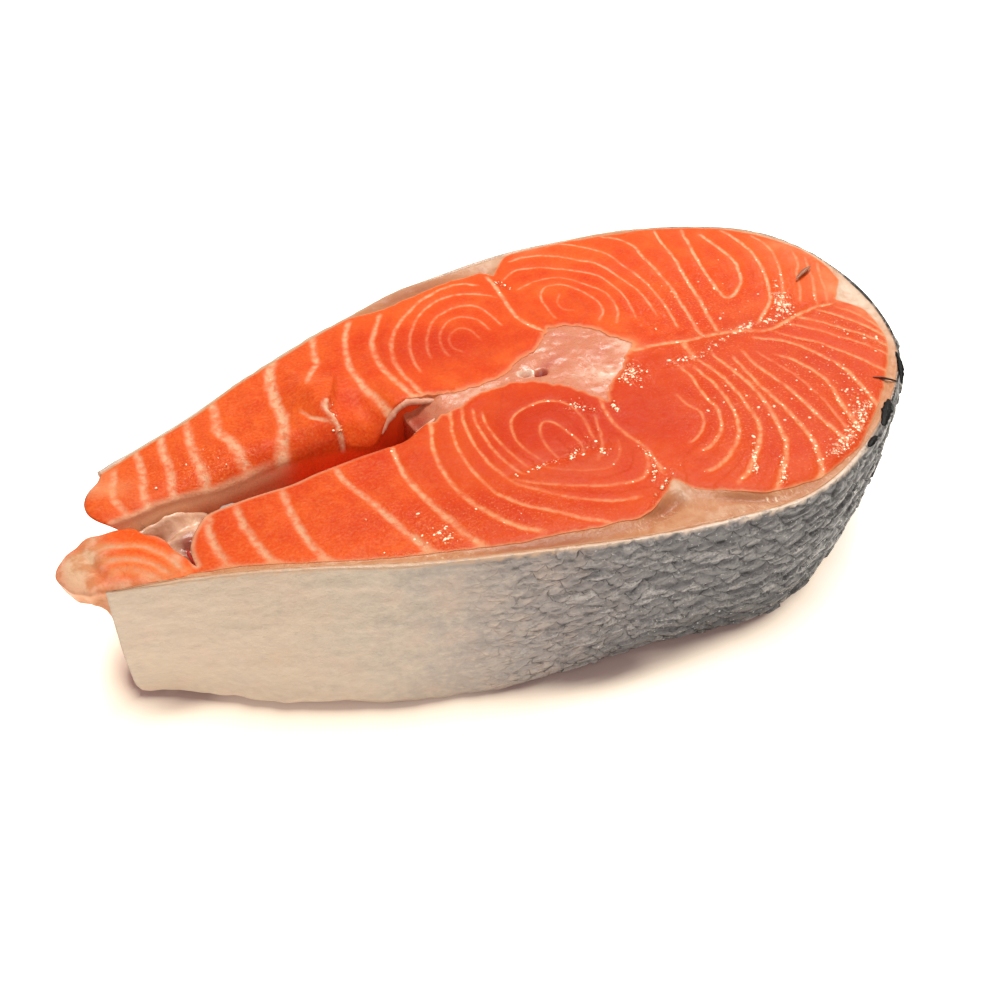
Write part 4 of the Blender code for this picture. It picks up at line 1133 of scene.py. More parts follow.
def flesh_finish():
    """Wet orange muscle in layers, with pale sheets between them, and lined where it faces the open belly."""
    f = Finish("salmon flesh", Subsurface_Weight=0.12, Subsurface_Scale=0.002,
               Subsurface_Radius=(1.0, 0.35, 0.2), Specular_IOR_Level=0.08)
    tone, flaps, lobe, far, wet, rim = f.fields("tone flaps lobe far wet rim")
    sheet, width, show, depth = f.fields("sheet sheet_width show depth")
    patch, fine, crackle = f.grain(9), f.grain(0.6, 4), f.grain(0.45)
    hatch = f.grain(1.0, 2, f.pair(f.field("run") * 2.4, sheet * 0.45))
    f.colour = f.mix(f.step(0.25, 0.75, patch), MUSCLE, MUSCLE_LIGHT)
    f.over(f.step(0.0, 1.0, tone) * 0.85, MUSCLE_DEEP)
    # Lighter where the tone is below nought; on the torn flake this is painted light.
    f.over(f.step(0.0, 1.2, tone * -1.0), MUSCLE_LIGHT)
    # Painted sheen: dull pink where the sheen field marks reflecting facets.
    f.over(f.field("sheen") * 0.7, MUSCLE_SHEEN)
    f.over(f.step(0.4, 2.6, sheet) * f.patches(0.35, 0.65, 4.0, 2) * 0.35 * (1 - lobe), MUSCLE_DEEP)
    f.over(f.step(9.0, 1.0, rim) * 0.5, MUSCLE_LIGHT)
    f.over(lobe * 0.8, f.mix(f.step(0.6, 1.6, sheet), LOBE_ORANGE, LOBE_DEEP))
    f.over(f.step(0.54, 0.76, hatch) * (0.06 + 0.14 * flaps), SHEET_PALE)
    f.over(f.step(0.5, 0.66, fine) * (0.12 + 0.14 * flaps), MUSCLE_PALE)
    f.over(f.step(0.5, 0.36, fine) * (0.12 + 0.16 * flaps), MUSCLE_DEEP)
    f.over((1 - far) * (1 - lobe) * (0.42 - 0.36 * flaps), MUSCLE_NEAR)
    # Painted glints (pale) and painted shade (deep) in a crackle where the face is wet.
    f.over(wet * f.step(0.55, 0.42, crackle) * 0.4, MUSCLE_DEEP)
    f.over(wet * f.step(0.58, 0.72, crackle) * 0.45, SHEET_PALE)
    core = f.step(width * 1.9 + 0.2, width * 0.1, sheet + (fine - 0.5) * 0.3)
    halo = f.step(width * 2.5 + 0.7, 0.0, sheet)
    f.over(halo * show * 0.5, MUSCLE_LIGHT)
    broken = 0.6 + 0.7 * f.patches(0.35, 0.6, 1.1)
    wide, narrow = f.mix(far, SHEET_WIDE, SHEET_FAR), f.mix(far * 0.6, SHEET_PALE, SHEET_FAR)
    f.over((core * show * broken).least(1.0), f.mix(flaps, narrow, wide))
    f.over(f.field("cream") * lobe, f.mix(f.patches(0.4, 0.6, 3.5), LOBE_TAN, LOBE_CREAM))
    f.over(f.field("pale") * f.step(0.3, 0.7, patch), SHEET_PALE)
    f.over(f.step(0.7, 0.0, rim + fine * 0.4) * (1 - lobe) * 0.55, f.mix(fine, EDGE_ORANGE, EDGE_PALE))
    f.over(f.field("fat_share") * 0.75, f.mix(fine, FATTY_ORANGE, FATTY_PALE))
    f.over(f.step(1.5, 0.4, f.field("mouth") + fine * 0.5) * f.field("mouth_pale") * 0.8, MOUTH_CREAM)
    f.over(f.step(0.2 + 1.8 * f.grain(2.0), 0.0, f.field("spine")) * 0.6, SHEET_PALE)
    f.over(f.field("flake"), f.mix(f.patches(0.4, 0.6, 0.8, 2), SHEET_WIDE, FLAKE_CREAM))
    wall = f.step(0.3, 2.2, depth)
    f.over(wall * (1 - lobe) * f.field("inner_wall"), WALL_RED)
    lining = f.mix(f.field("lining_red"), LINING_BEIGE, f.mix(f.grain(3.0), LINING_BROWN, LINING_TAN))
    f.over(wall * f.field("lined"), lining)
    f.over(f.step(0.8, 3.0, depth) * lobe * 0.85, f.mix(f.grain(4.0), LOBE_BROWN, LOBE_TAN))
    relief = fine * (0.35 + 0.4 * flaps) + hatch * 0.2 + wet * crackle * 0.8
    return f.done(0.46 - 0.12 * fine - wet * 0.2, relief, 0.22)


FAT_TAN = (0.47, 0.185, 0.075)
FAT_CREAM = (0.54, 0.26, 0.13)
FAT_BROWN = (0.36, 0.125, 0.058)
FAT_WHITE = (0.66, 0.49, 0.36)
FAT_EDGE = (0.60, 0.36, 0.22)
FAT_GLINT = (0.80, 0.60, 0.40)


def fat_finish():
    """Tan, waxy fat, browner in its hollows and paler by the skin."""
    f = Finish("belly fat", Subsurface_Weight=0.12, Subsurface_Scale=0.002,
               Subsurface_Radius=(1.0, 0.5, 0.3), Specular_IOR_Level=0.18)
    mottle, fine, scratch = f.grain(2.4, 4), f.grain(0.6), f.grain(0.9, 3, f.at(1.6, 0.5, 1.0))
    wet = f.field("wet")
    f.colour = f.mix(f.step(0.3, 0.7, mottle), FAT_TAN, FAT_CREAM)
    f.over(f.field("brown") * f.step(0.15, 0.5, mottle), FAT_BROWN)
    f.over(f.field("pale") * (0.5 + 0.5 * f.step(0.25, 0.6, mottle)), FAT_WHITE)
    f.over(f.step(1.2, 0.0, f.field("from_flesh")) * 0.6, SHEET_PALE)
    f.over(f.step(0.7, 0.0, f.field("from_skin")) * 0.35, FAT_EDGE)
    # Painted glints in fine scratches where the fat is wet.
    f.over(wet * f.step(0.6, 0.72, scratch) * 0.8, FAT_GLINT)
    f.over(wet * f.step(0.5, 0.36, scratch) * 0.4, FAT_BROWN)
    return f.done(0.42 - 0.2 * fine - wet * 0.1, mottle * 0.5 + fine * 0.3 + wet * scratch * 0.7, 0.3)


# The skin's colour from the belly (0) to the back (1).
SKIN_STOPS = ((0.0, (0.50, 0.385, 0.285)), (0.1, (0.47, 0.38, 0.295)), (0.2, (0.36, 0.295, 0.250)),
              (0.34, (0.225, 0.192, 0.182)), (0.46, (0.150, 0.137, 0.137)), (0.7, (0.100, 0.094, 0.095)),
              (0.86, (0.088, 0.083, 0.084)), (1.0, (0.016, 0.015, 0.015)))
SKIN_BELLY_LIGHT = (0.58, 0.47, 0.36)
SKIN_BELLY_SHADE = (0.36, 0.28, 0.22)
SKIN_BELLY_PINK = (0.54, 0.37, 0.28)
SKIN_SHADE = (0.085, 0.076, 0.075)
SKIN_LIT = (0.40, 0.37, 0.35)
SKIN_GAP_SHADE = (0.022, 0.020, 0.021)
SKIN_GLINT = (0.66, 0.63, 0.60)
SKIN_LOW_SHADE = (0.050, 0.047, 0.048)
SKIN_DARK = (0.012, 0.011, 0.011)
SKIN_STAIN = (0.54, 0.36, 0.23)
# The skin's cut rim: at the belly, beyond it, on the far side, and at the back in black and grey. Then the
# tan of its inside.
RIM_BELLY = (0.56, 0.36, 0.23)
RIM_FLANK = (0.72, 0.56, 0.44)
RIM_FAR = (0.56, 0.38, 0.28)
RIM_BLACK = (0.010, 0.009, 0.009)
RIM_GREY = (0.20, 0.17, 0.15)
SKIN_TAN = (0.54, 0.28, 0.15)
SKIN_TAN_FAR = (0.54, 0.33, 0.22)


def scales_of(f):
    """How far up its scale each place is, as scale_place works it out, and a number of the scale's own."""
    u, v = f.fields("scale_u scale_v")
    row = v.floor()
    side = abs((u + (row + 1) * 0.5).fraction() - 0.5) * 2
    low, high = side * side, (1 - side) * (1 - side)
    above = v - row - low
    up = above.maths("GREATER_THAN", above, 0.0)
    share = up * (above / (1 + high - low)) + (1 - up) * ((v - row + 1 - high) / (1 + low - high))
    row = row + up
    cell = f.pair((u + row * 0.5).floor(), row)
    own = f.add("ShaderNodeTexWhiteNoise", {"noise_dimensions": "2D"}, {"Vector": cell}, output="Value")
    return share, own


def skin_finish():
    """Wet skin: bare and beige at the belly, with grey scales towards the dark back."""
    f = Finish("scaled skin", Coat_Weight=0.12, Coat_Roughness=0.15, Specular_IOR_Level=0.32)
    share, own = scales_of(f)
    back, scaled, far = f.fields("back scaled far")
    mottle, broad, fine = f.grain(1.3, 4), f.grain(7.0), f.grain(0.5)
    streak = f.grain(1.3, 4, f.at(0.75, 0.75, 1.25))
    f.colour = f.ramp(SKIN_STOPS, back + (mottle - 0.5) * 0.16 + (broad - 0.5) * 0.16)
    plain = f.step(0.5, 0.25, back)
    f.over(f.step(0.5, 0.72, streak) * (0.25 + 0.05 * plain), f.mix(plain, SKIN_SHADE, SKIN_BELLY_SHADE))
    f.over(f.step(0.5, 0.3, streak) * 0.3 * plain, SKIN_BELLY_LIGHT)
    f.over(f.patches(0.45, 0.7, 4.0) * 0.3 * plain, SKIN_BELLY_PINK)
    middle = f.step(0.2, 0.55, share) * f.step(0.95, 0.6, share)
    f.over(middle * (0.14 + 0.6 * own * own) * (0.1 + scaled) * f.step(0.3, 0.6, fine), SKIN_LIT)
    # Painted shade: darker towards the bottom of the skin, from the middle of the flank to the back.
    f.over(f.field("low") * (0.3 + 0.5 * f.step(0.35, 0.65, broad)), SKIN_LOW_SHADE)
    # Painted shade in the gaps between the scales, at the edges of each one.
    gap = f.step(0.86, 1.0, share).most(f.step(0.24, 0.0, share))
    f.over(gap * f.patches(0.38, 0.6, 2.0) * (0.03 + 0.95 * scaled), SKIN_GAP_SHADE)
    crack = f.patches(0.56, 0.66, 1.0, 3, f.at(0.4, 0.4, 1.5))
    f.over(crack * f.step(0.18, 0.32, back) * f.step(0.6, 0.4, back) * 0.6, SKIN_SHADE)
    fleck = f.step(0.52, 0.64, f.grain(1.3, 3, f.at(0.6, 0.6, 1.2)) + back * 0.12 - 0.05)
    f.over(fleck * f.step(0.55, 0.95, back) * 0.9, SKIN_DARK)
    f.over(f.step(0.66, 0.74, fine) * f.step(0.2, 0.5, back) * 0.8, SKIN_GLINT)
    f.over(f.field("stain") * f.step(0.4, 0.6, mottle) * 0.5, SKIN_STAIN)
    side_rim = f.mix(far, f.mix(f.step(0.3, 0.5, back), RIM_BELLY, RIM_FLANK), RIM_FAR)
    back_rim = f.mix(f.step(0.5, 0.66, mottle), RIM_BLACK, RIM_GREY)
    rim = f.mix(f.step(0.8, 0.93, back), side_rim, back_rim)
    f.over(f.field("cut_rim") * (0.4 + 0.6 * f.step(0.3, 0.5, mottle)), rim)
    f.over(f.field("tan"), f.mix(far, SKIN_TAN, SKIN_TAN_FAR))
    relief = fine * 0.5 + streak * 0.4 + mottle * 0.4 + middle * scaled * 0.3
    return f.done(0.42 - 0.18 * own * scaled, relief, 0.26)


BONE_PINK = (0.58, 0.175, 0.083)
BONE_ROSE = (0.56, 0.16, 0.085)
BONE_RED = (0.54, 0.15, 0.09)
BONE_WHITE = (0.57, 0.205, 0.108)
BONE_PALE = (0.74, 0.44, 0.31)
BONE_SIDE = (0.46, 0.060, 0.022)
PIT_RIM = (0.72, 0.50, 0.38)
BLOOD = (0.34, 0.028, 0.016)


def bone_finish():
    """The backbone's cut: pale pink, whiter at its edge, with two small pits and some blood."""
    f = Finish("backbone cut", Subsurface_Weight=0.1, Subsurface_Scale=0.002, Coat_Weight=0.1,
               Coat_Roughness=0.08)
    mottle, fine = f.grain(1.5, 4), f.grain(0.5)
    f.colour = f.mix(f.step(0.35, 0.68, mottle), BONE_PINK, BONE_WHITE)
    f.over(f.patches(0.5, 0.7, 2.6) * 0.5, BONE_ROSE)
    f.over(f.step(1.4, 0.2, f.field("edge")) * 0.6, BONE_WHITE)
    f.over(f.field("pink"), BONE_RED)
    f.over(f.field("pale") * f.step(0.25, 0.6, mottle), BONE_PALE)
    f.over(f.field("rim_white"), PIT_RIM)
    f.over(f.field("blood"), BLOOD)
    f.over(f.step(0.4, 2.4, f.field("depth") + mottle), BONE_SIDE)
    return f.done(0.38 - 0.18 * fine, mottle * 0.4 + fine * 0.4, 0.18)


MEMBRANE_BROWN = (0.60, 0.33, 0.20)
MEMBRANE_BEIGE = (0.82, 0.55, 0.38)
MEMBRANE_SHADE = (0.26, 0.050, 0.020)
MEMBRANE_PALE = (0.72, 0.42, 0.26)


def membrane_finish():
    """The crumpled belly lining: pinkish beige and wet."""
    f = Finish("belly membrane", Subsurface_Weight=0.1, Subsurface_Scale=0.001, Coat_Weight=0.08,
               Coat_Roughness=0.12)
    mottle = f.grain(1.8)
    f.colour = f.mix(f.step(0.3, 0.7, mottle), MEMBRANE_BROWN, MEMBRANE_BEIGE)
    # Painted shade, dark red, in the hollows between the folds.
    f.over(f.field("dark"), MEMBRANE_SHADE)
    f.over(f.field("pale"), MEMBRANE_PALE)
    return f.done(0.4 - 0.1 * mottle, mottle, 0.3)


BEAD_ORANGE = (0.78, 0.20, 0.06)
BEAD_GLINT = (1.0, 0.84, 0.56)


def bead_finish():
    """Drops of moisture: most are as orange as the muscle below them, and some have a painted glint, a bright
    pale colour.
    """
    f = Finish("wet bead", Coat_Weight=1.0, Coat_Roughness=0.03)
    f.colour = f.mix(f.step(0.4, 0.62, f.field("tint")), BEAD_ORANGE, BEAD_GLINT)
    return f.done(0.12)


def tinted_finish(name, colour, other, roughness, gloss):
    """A plain finish between two colours, by the mesh's own tint and some grain."""
    f = Finish(name, Specular_IOR_Level=gloss)
    f.colour = f.mix((f.field("tint") + f.grain(1.0) - 0.5).most(0.0).least(1.0), colour, other)
    return f.done(roughness, f.grain(0.5, 2), 0.1)


# ---------------------------------------------------------------- the flesh

def flesh_face(points, lines, flank):
    """The fields of the cut face at points of it."""
    x, y = points.T
    found = layers(points)
    rim, place = nearest(points, lines[0])
    mouth, spine = [distance(points, line) for line in lines[1:]]
    flaps, far = soft_step(*FLAPS, x), soft_step(*FAR_HALF, y)
    lobe = soft_step(*LOBE, x) * (y < MOUTH_MIDDLE)
    share = place / run_length(lines[0])[-1]
    fatty = soft_step(*FATTY, np.interp(share, flank.share, flank.muscle))
    tongue = np.exp(-found["sheet"] / (0.4 + 0.5 * flaps))
    reach = 0.05 + lumps(points, TONGUE_LUMPS) + (0.6 + 1.2 * flaps) * tongue
    found["sheet_width"] *= 1 + lumps(points, WIDTH_LUMPS) + 0.5 * flaps * fatty * np.exp(-rim / 1.2)
    found["show"] *= np.clip(0.9 + lumps(points, SHOW_LUMPS), 0.25, 1) * (1 - spots(points, FAINT))
    found.update(
        rim=rim, mouth=mouth, spine=spine, flaps=flaps, lobe=lobe, far=far,
        fat_share=soft_step(0.45, -0.45, rim - np.clip(reach, 0, 2.5)) * (1 - lobe) * fatty,
        mouth_pale=np.where(y > MOUTH_MIDDLE, soft_step(*FAR_MOUTH_PALE, x), soft_step(*NEAR_MOUTH_PALE, x)),
        tone=mounds(points, TONES), sheen=spots(points, SHEENS), cream=spots(points, CREAMS),
        pale=spots(points, PALES), wet=spots(points, WETS_AND_GLINTS))
    return found


def mouth_roll(points, mouth):
    """How far the far flap's face rolls down towards the open belly."""
    far = soft_step(*ROLL_ACROSS, points[:, 1]) * soft_step(*ROLL_ALONG, points[:, 0])
    depth = MOUTH_ROLL * soft_step(*ROLL_FULL, points[:, 0]) + MOUTH_ROLL_LEAST
    return depth * far * np.clip(1 - mouth / MOUTH_ROLL_WIDTH, 0, 1)**2


def flake_rise(points):
    """How far the torn flake stands over the face round it."""
    edge = smooth(FLAKE_EDGE, FLAKE_STEP)
    gap = distance(points, edge)
    behind = np.where(points[:, 0] < np.interp(points[:, 1], edge[:, 1], edge[:, 0]), gap, -gap)
    fall = np.exp(-np.clip(behind, 0, None) / FLAKE_REACH)
    return FLAKE_LIFT * soft_step(24.0, 16.0, points[:, 1]) * soft_step(-0.5, 0.35, behind) * fall


def face_relief(points, found, edge_gap):
    """Height of the cut face with its shoulder, the sheets' grooves, lumps and the torn flake."""
    z = face_height(*points.T) - SHOULDER_DROP * np.clip(1 - edge_gap / SHOULDER_WIDTH, 0, 1)**2
    z -= mouth_roll(points, found["mouth"]) + groove_depth(found) * soft_step(0.0, 1.5, edge_gap)
    z += lumps(points, FACE_LUMPS) + found["wet"] * lumps(points, WET_LUMPS)
    near = (abs(points - FLAKE_MIDDLE) < FLAKE_BOX).all(1)
    z[near] += flake_rise(points[near])
    return z


def flesh_outlines(flank):
    """The flesh's outline at each height, and the numbers of its strokes."""
    depth = flank.muscle - FLESH_OVERLAP
    upper, lowest = flank.at(depth, THICKNESS), flank.tucked(depth, 0)
    ends = [(*upper[i], *(lowest[i] - upper[i])) for i in (-1, 0)]
    inner, number = inner_outline(*ends, EDGE_STEP)
    tips = inner[:, 0] < LOBE_FROM
    far_tip = tips & (inner[:, 1] > MOUTH_MIDDLE)
    outlines = []
    for height in FLESH_HEIGHTS:
        sway = np.full(len(inner), share_at(PLAIN_TUCK, height))
        sway[tips] = share_at(LOBE_TUCK, height)
        sway[far_tip] = share_at(FAR_TUCK, height)
        outlines.append(np.vstack([flank.tucked(depth, height), inner[:, :2] + inner[:, 2:] * sway[:, None]]))
    return outlines, np.concatenate([np.full(len(upper), BY_SKIN), number])


def face_points(outline):
    """Points of the cut face: rows along each sheet and the flake's edge, with an even grid between them."""
    lines = [line for *_, line in sheet_paths()] + [smooth(FLAKE_EDGE, SHEET_STEP)]
    middles = np.vstack(lines)
    found = np.zeros((0, 2))
    for line in lines:
        for offset in (0, SHEET_ROW, -SHEET_ROW):
            row = line + offset * outward(line)
            row = away_from(row, middles, SHEET_ROOM) if offset else row
            found = np.vstack([found, away_from(row[inside(row, outline)], found, POINT_ROOM)])
    grid = hex_grid(outline, FACE_STEP)
    far = np.full(len(grid), np.inf)
    for line in lines:
        close = close_to(grid, line, 2)
        far[close] = np.minimum(far[close], distance(grid[close], line))
    found = np.vstack([found, grid[far > SHEET_ROW + 0.45 * FACE_STEP]])
    return found[distance(found, outline, closed=True) > 0.4 * FACE_STEP]


def flesh(finish):
    """The muscle, with its sheets, torn flake, lobe and open belly."""
    flank = Flank(EDGE_STEP)
    outlines, stroke = flesh_outlines(flank)
    rim, walled = outlines[-1], (stroke == FAR_WALL) | (stroke == NEAR_WALL)
    ragged = (lumps(rim, BONE_RAGGED) * (stroke == BY_BONE) + lumps(rim, LOBE_RAGGED) * (stroke >= LOBE_SIDES)
              + lumps(rim, WALL_RAGGED) * walled)
    outlines = [outline + outward(rim, closed=True) * ragged[:, None] for outline in outlines]
    rim = outlines[-1]
    lines = (rim[stroke == BY_SKIN], rim[walled], rim[stroke == BY_BONE])
    under, within = filled(outlines[0], UNDERSIDE_STEP, 0.5 * UNDERSIDE_STEP), face_points(rim)
    around, below, top = [flesh_face(places, lines, flank) for places in (rim, under, within)]
    rim_z = rim_height(*rim.T) - mouth_roll(rim, around["mouth"])
    top_z = face_relief(within, top, distance(within, rim, closed=True))

    flake = smooth(FLAKE_EDGE, FLAKE_STEP)
    flake = flake[flake[:, 1] < FLAKE_PALE_TO]
    for found, places in ((top, within), (around, rim)):
        gap = distance(places, flake) + lumps(places, FLAKE_RAGGED)
        before = places[:, 0] > np.interp(places[:, 1], *flake.T[::-1])
        found["flake"] = soft_step(1.5, 0.5, gap + 1.2 * before)
    below["flake"] = np.zeros(len(under))
    for key in ("depth", "lined", "lining_red", "inner_wall"):
        below[key], top[key] = np.zeros(len(under)), np.zeros(len(within))
    around["lined"] = walled * soft_step(*LINED, rim[:, 0])
    around["inner_wall"] = (walled | (stroke == BY_BONE)) * soft_step(*RED_WALL, rim[:, 0])

    count, points, fields = len(rim), [], {key: [] for key in top}
    for outline, height in zip(outlines, FLESH_HEIGHTS):
        z = lifted(height, rim_z)
        depth = rim_z - z
        fold = lumps(at_height(outline, z * 0.5), WALL_FOLDS) * (stroke >= 0) * soft_step(0.5, 4, depth)
        points.append(at_height(outline + outward(outline, closed=True) * fold[:, None], z))
        red = soft_step(*RED_LINING, rim[:, 0]) * soft_step(0.3, 4.0, depth)
        for key, values in {**around, "depth": depth, "lining_red": red}.items():
            fields[key].append(values)
    points += [at_height(under, 0.0), at_height(within, top_z)]
    fields = {key: np.concatenate([*values, below[key], top[key]]) for key, values in fields.items()}

    first_under, top_loop = count * len(outlines), count * (len(outlines) - 1)
    faces = walls(count, len(outlines))
    faces += [t[::-1] for t in numbered(cap(outlines[0], under), count, 0, first_under)]
    faces += numbered(cap(rim, within), count, top_loop, first_under + len(under))
    points = np.vstack(points)
    crisp = np.zeros(len(points), bool)
    crisp[top_loop:first_under] = (stroke == BY_SKIN) | (stroke == BY_BONE)
    return piece("salmon_flesh", points, faces, fields, finish, "flesh", crisp)


# ---------------------------------------------------------------- the other layers

def fat_band(finish):
    """The pale layer between skin and flesh, with its wedges."""
    flank, band = Flank(STATION_STEP), Band()
    outer, inner = flank.skin - 0.05, flank.muscle + FAT_OVERLAP
    sections = [(outer, height, 0.0) for height in FAT_LEVELS]
    for share in np.linspace(0, 1, FAT_COLUMNS):
        sections.append((outer + (inner - outer) * share, THICKNESS, share))
    sections += [(inner, height, 1.0) for height in FAT_LEVELS[::-1]]
    for depth, height, share in sections:
        path = flank.tucked(depth, height)
        rim = rim_height(*path.T)
        z = lifted(max(height, SKIN_FOOT), rim)
        if height == THICKNESS:
            hollow = 0.5 * np.sin(math.pi * share) * np.clip((flank.muscle - 1) / 4, 0.1, 1)
            swell = lumps(path, FAT_LUMPS) * math.sin(math.pi * min(1, 0.25 + share))
            z = rim - hollow - 0.1 + 0.16 * share + swell
            z += mounds(path, FAT_HOLLOWS) * soft_step(0.0, 0.2, share) * soft_step(1.0, 0.8, share)
        band.add(path, z, from_skin=depth - outer, from_flesh=inner - depth, brown=spots(path, BROWNS),
                 pale=spots(path, PALES), wet=spots(path, FAT_WETS_AND_GLINTS))
    return band.made("fat_band", finish, "fat", "fat_layer")


def scale_counts(along, height):
    """Counts of the scales along their rows and of the rows, which stray a little from even."""
    flat = np.column_stack([along, height])
    u = along + lumps(flat, SCALE_STRAYS)
    v = height + lumps(flat, ROW_STRAYS) - SCALE_SLANT * along
    return u / SCALE_LENGTH, v / SCALE_HEIGHT


def scale_place(u, v):
    """How far up its scale each place is, from the free edge, and that scale's own number. Each scale is a
    lens, and covers the upper part of those below it."""
    row = np.floor(v)
    side = 2 * np.abs((u + 0.5 * (row + 1)) % 1 - 0.5)
    low, high = side**2, (1 - side)**2
    above = v - row - low
    up = above >= 0
    share = np.where(up, above / (1 + high - low), (v - row + 1 - high) / (1 + low - high))
    row = row + up
    own = (np.sin(np.floor(u + 0.5 * row) * 12.9898 + row * 78.233) * 43758.5453) % 1
    return share, own


def scaled_skin(finish):
    """The skin, its scales raised from the middle of the flank to the back."""
    flank, band = Flank(STATION_STEP), Band()
    x = flank.edge[:, 0]
    back = np.clip((x - BELLY_END) / BELLY_TO_BACK, 0, 1.2)
    far = soft_step(0.52, 0.6, flank.share)
    scaled = soft_step(*SCALED, x)
    rim = rim_height(*flank.edge.T) - SKIN_DROP + lumps(flank.edge, SKIN_RIM_LUMPS)
    rim -= 0.5 * soft_step(0.9, 0.99, flank.share)
    foot = SKIN_FOOT + 0.3 + lumps(flank.edge, SKIN_FOOT_LUMPS)

    def add(path, z, cut_rim, tan):
        # The low field holds where painted shade darkens the lower skin towards the back.
        band.add(path, z, scale_u=u, scale_v=v, back=back, scaled=scaled, stain=stain, cut_rim=cut_rim,
                 tan=tan, far=far, low=soft_step(23.0, 8.0, z) * soft_step(-12.0, 22.0, x))

    for share in np.linspace(0, 1, SKIN_LEVELS):
        height = THICKNESS * share
        z = np.maximum(lifted(height, rim), foot * (1 - share) + height)
        u, v = scale_counts(flank.along, z)
        up, own = scale_place(u, v)
        plump = np.sin(math.pi * np.clip(up, 0, 1)**0.8)**0.7
        proud = SCALE_RISE * (0.08 + scaled) * plump * (0.4 + 1.1 * own)
        proud *= soft_step(0.0, 0.04, share) * soft_step(1.0, 0.965, share)
        flat = np.column_stack([flank.along * 0.6, z * 1.2])
        crease = np.maximum(lumps(flat, CREASES) * soft_step(0.0, 0.1, share), -0.12)
        curl = FOOT_CURL * soft_step(0.16, 0.0, share)**2 * soft_step(60.0, 30.0, flank.along)
        cut = soft_step(0.984, 0.995, share + lumps(flank.edge, CUT_RAGGED))
        stain = mound(flank.along, z, *STAIN)
        add(flank.at(curl - proud - crease * (1 - scaled), height), z, cut, 0.0)
    for share, tan in ((0.3, 0.0), (0.65, 0.5), (1.0, 1.0)):
        lift = 0.05 * math.sin(math.pi * share)
        add(flank.at((flank.skin + 0.1) * share, THICKNESS), rim + lift, 1.0, tan)
    for height in SKIN_INSIDE:
        add(flank.at(SKIN + 0.1 + 0.5 * (height == 0), height), np.maximum(height, foot), 0.7, 0.0)
    return band.made("scaled_skin", finish, "skin", "skin")


def pit_reach(points, pit):
    """How far points are from a pit's middle, as a share of its reach."""
    x, y, wide, tall = pit
    return np.hypot((points[:, 0] - x) / wide, (points[:, 1] - y) / tall)


def bone_height(points, edge):
    """Height of the backbone's rough cut."""
    crags = lumps(points, BONE_LUMPS) - np.abs(lumps(points, BONE_CREASES)) + lumps(points, BONE_CRAGS)
    pits = sum(depth * soft_step(1.25, 0.55, pit_reach(points, pit))
               for depth, pit in zip(PIT_DEPTHS, PITS))
    drop = BONE_SINK + BONE_DROP * soft_step(-13.5, -21.0, points[:, 0])
    return rim_height(*points.T) + crags * soft_step(0.6, 2.0, edge) - pits - drop


def backbone(finish):
    """The backbone and the tissue round it, with a rough cut."""
    path = np.vstack([spine_outline(BONE_STEP)[:, :2], smooth(BONE_FRONT, BONE_STEP)])[::-1]
    outline = path + outward(path, closed=True) * BONE_UNDER
    within = filled(outline, BONE_STEP, 0.25)
    edge = distance(within, outline, closed=True)
    outline_z = bone_height(outline, np.zeros(len(outline)))
    points, faces = block(outline, within, BONE_HEIGHTS, outline_z, bone_height(within, edge))
    flat = points[:, :2]
    gap = np.concatenate([np.zeros(len(points) - len(within)), edge])
    hollow, dark = [pit_reach(flat, pit) for pit in PITS]
    blood = soft_step(1.15, 0.8, dark) + 0.55 * soft_step(0.62, 0.3, hollow) + mounds(flat, BLOOD_SPOTS)
    fields = {
        "edge": gap, "blood": np.clip(blood, 0, 1), "pink": spots(flat, BONE_PINKS),
        "pale": spots(flat, BONE_PALES),
        "rim_white": soft_step(0.7, 1.0, hollow) * soft_step(1.75, 1.3, hollow),
        "depth": np.maximum(bone_height(flat, gap) - points[:, 2], 0),
    }
    return piece("backbone_core", points, faces, fields, finish, "backbone")


def lining_height(points):
    """Height of the crumpled lining, with its folds."""
    x, y = points.T
    folds = lumps(np.column_stack([x * 0.6, y * 1.4]), LINING_LUMPS) + lumps(points, LINING_CRUMPLES)
    folds -= np.abs(lumps(np.column_stack([x + 0.6 * y, y]), LINING_CREASES)) - 0.3
    return LINING_SHEET + mounds(points, LINING_FOLDS) + folds


def belly_membrane(finish):
    """The crumpled lining in the mouth of the open belly, and its rolled edge along the far flap."""
    outline = smooth((*LINING, LINING[0]), LINING_STEP)[:-1]
    within = filled(outline, LINING_STEP, 0.3)
    points, faces = block(outline, within, LINING_HEIGHTS, lining_height(outline), lining_height(within))
    fields = {"dark": spots(points[:, :2], LINING_SHADES), "pale": spots(points[:, :2], LINING_PALES)}
    return piece("belly_membrane", points, faces, fields, finish, "belly_lining")


# ---------------------------------------------------------------- small things

def bead_places():
    """Where the wet beads lie: in clusters and along some of the sheets."""
    places = []
    for x, y, half_length, half_width, turn, number in BEAD_CLUSTERS:
        count = round(number * BEAD_SHARE)
        a, b = RANDOM.normal(0, BEAD_SPREAD, (2, count)) * [[half_length], [half_width]]
        a, b = turned(a, b, math.radians(turn))
        places.append(np.column_stack([x + a, y + b]))
    paths = sheet_paths()
    for sheet, first, last, number in BEAD_SHEETS:
        line = paths[sheet][-1]
        at = np.sort(RANDOM.uniform(first, last, number)) * (len(line) - 1)
        stray = RANDOM.normal(0, SHEET_BEAD_SPREAD, (number, 2))
        places.append(resample(line, np.arange(len(line)), at) + stray)
    places = np.vstack(places)
    outline = flesh_outlines(Flank(4 * EDGE_STEP))[0][-1]
    places = places[inside(places, outline)]
    return places[distance(places, outline, closed=True) > 1.0]


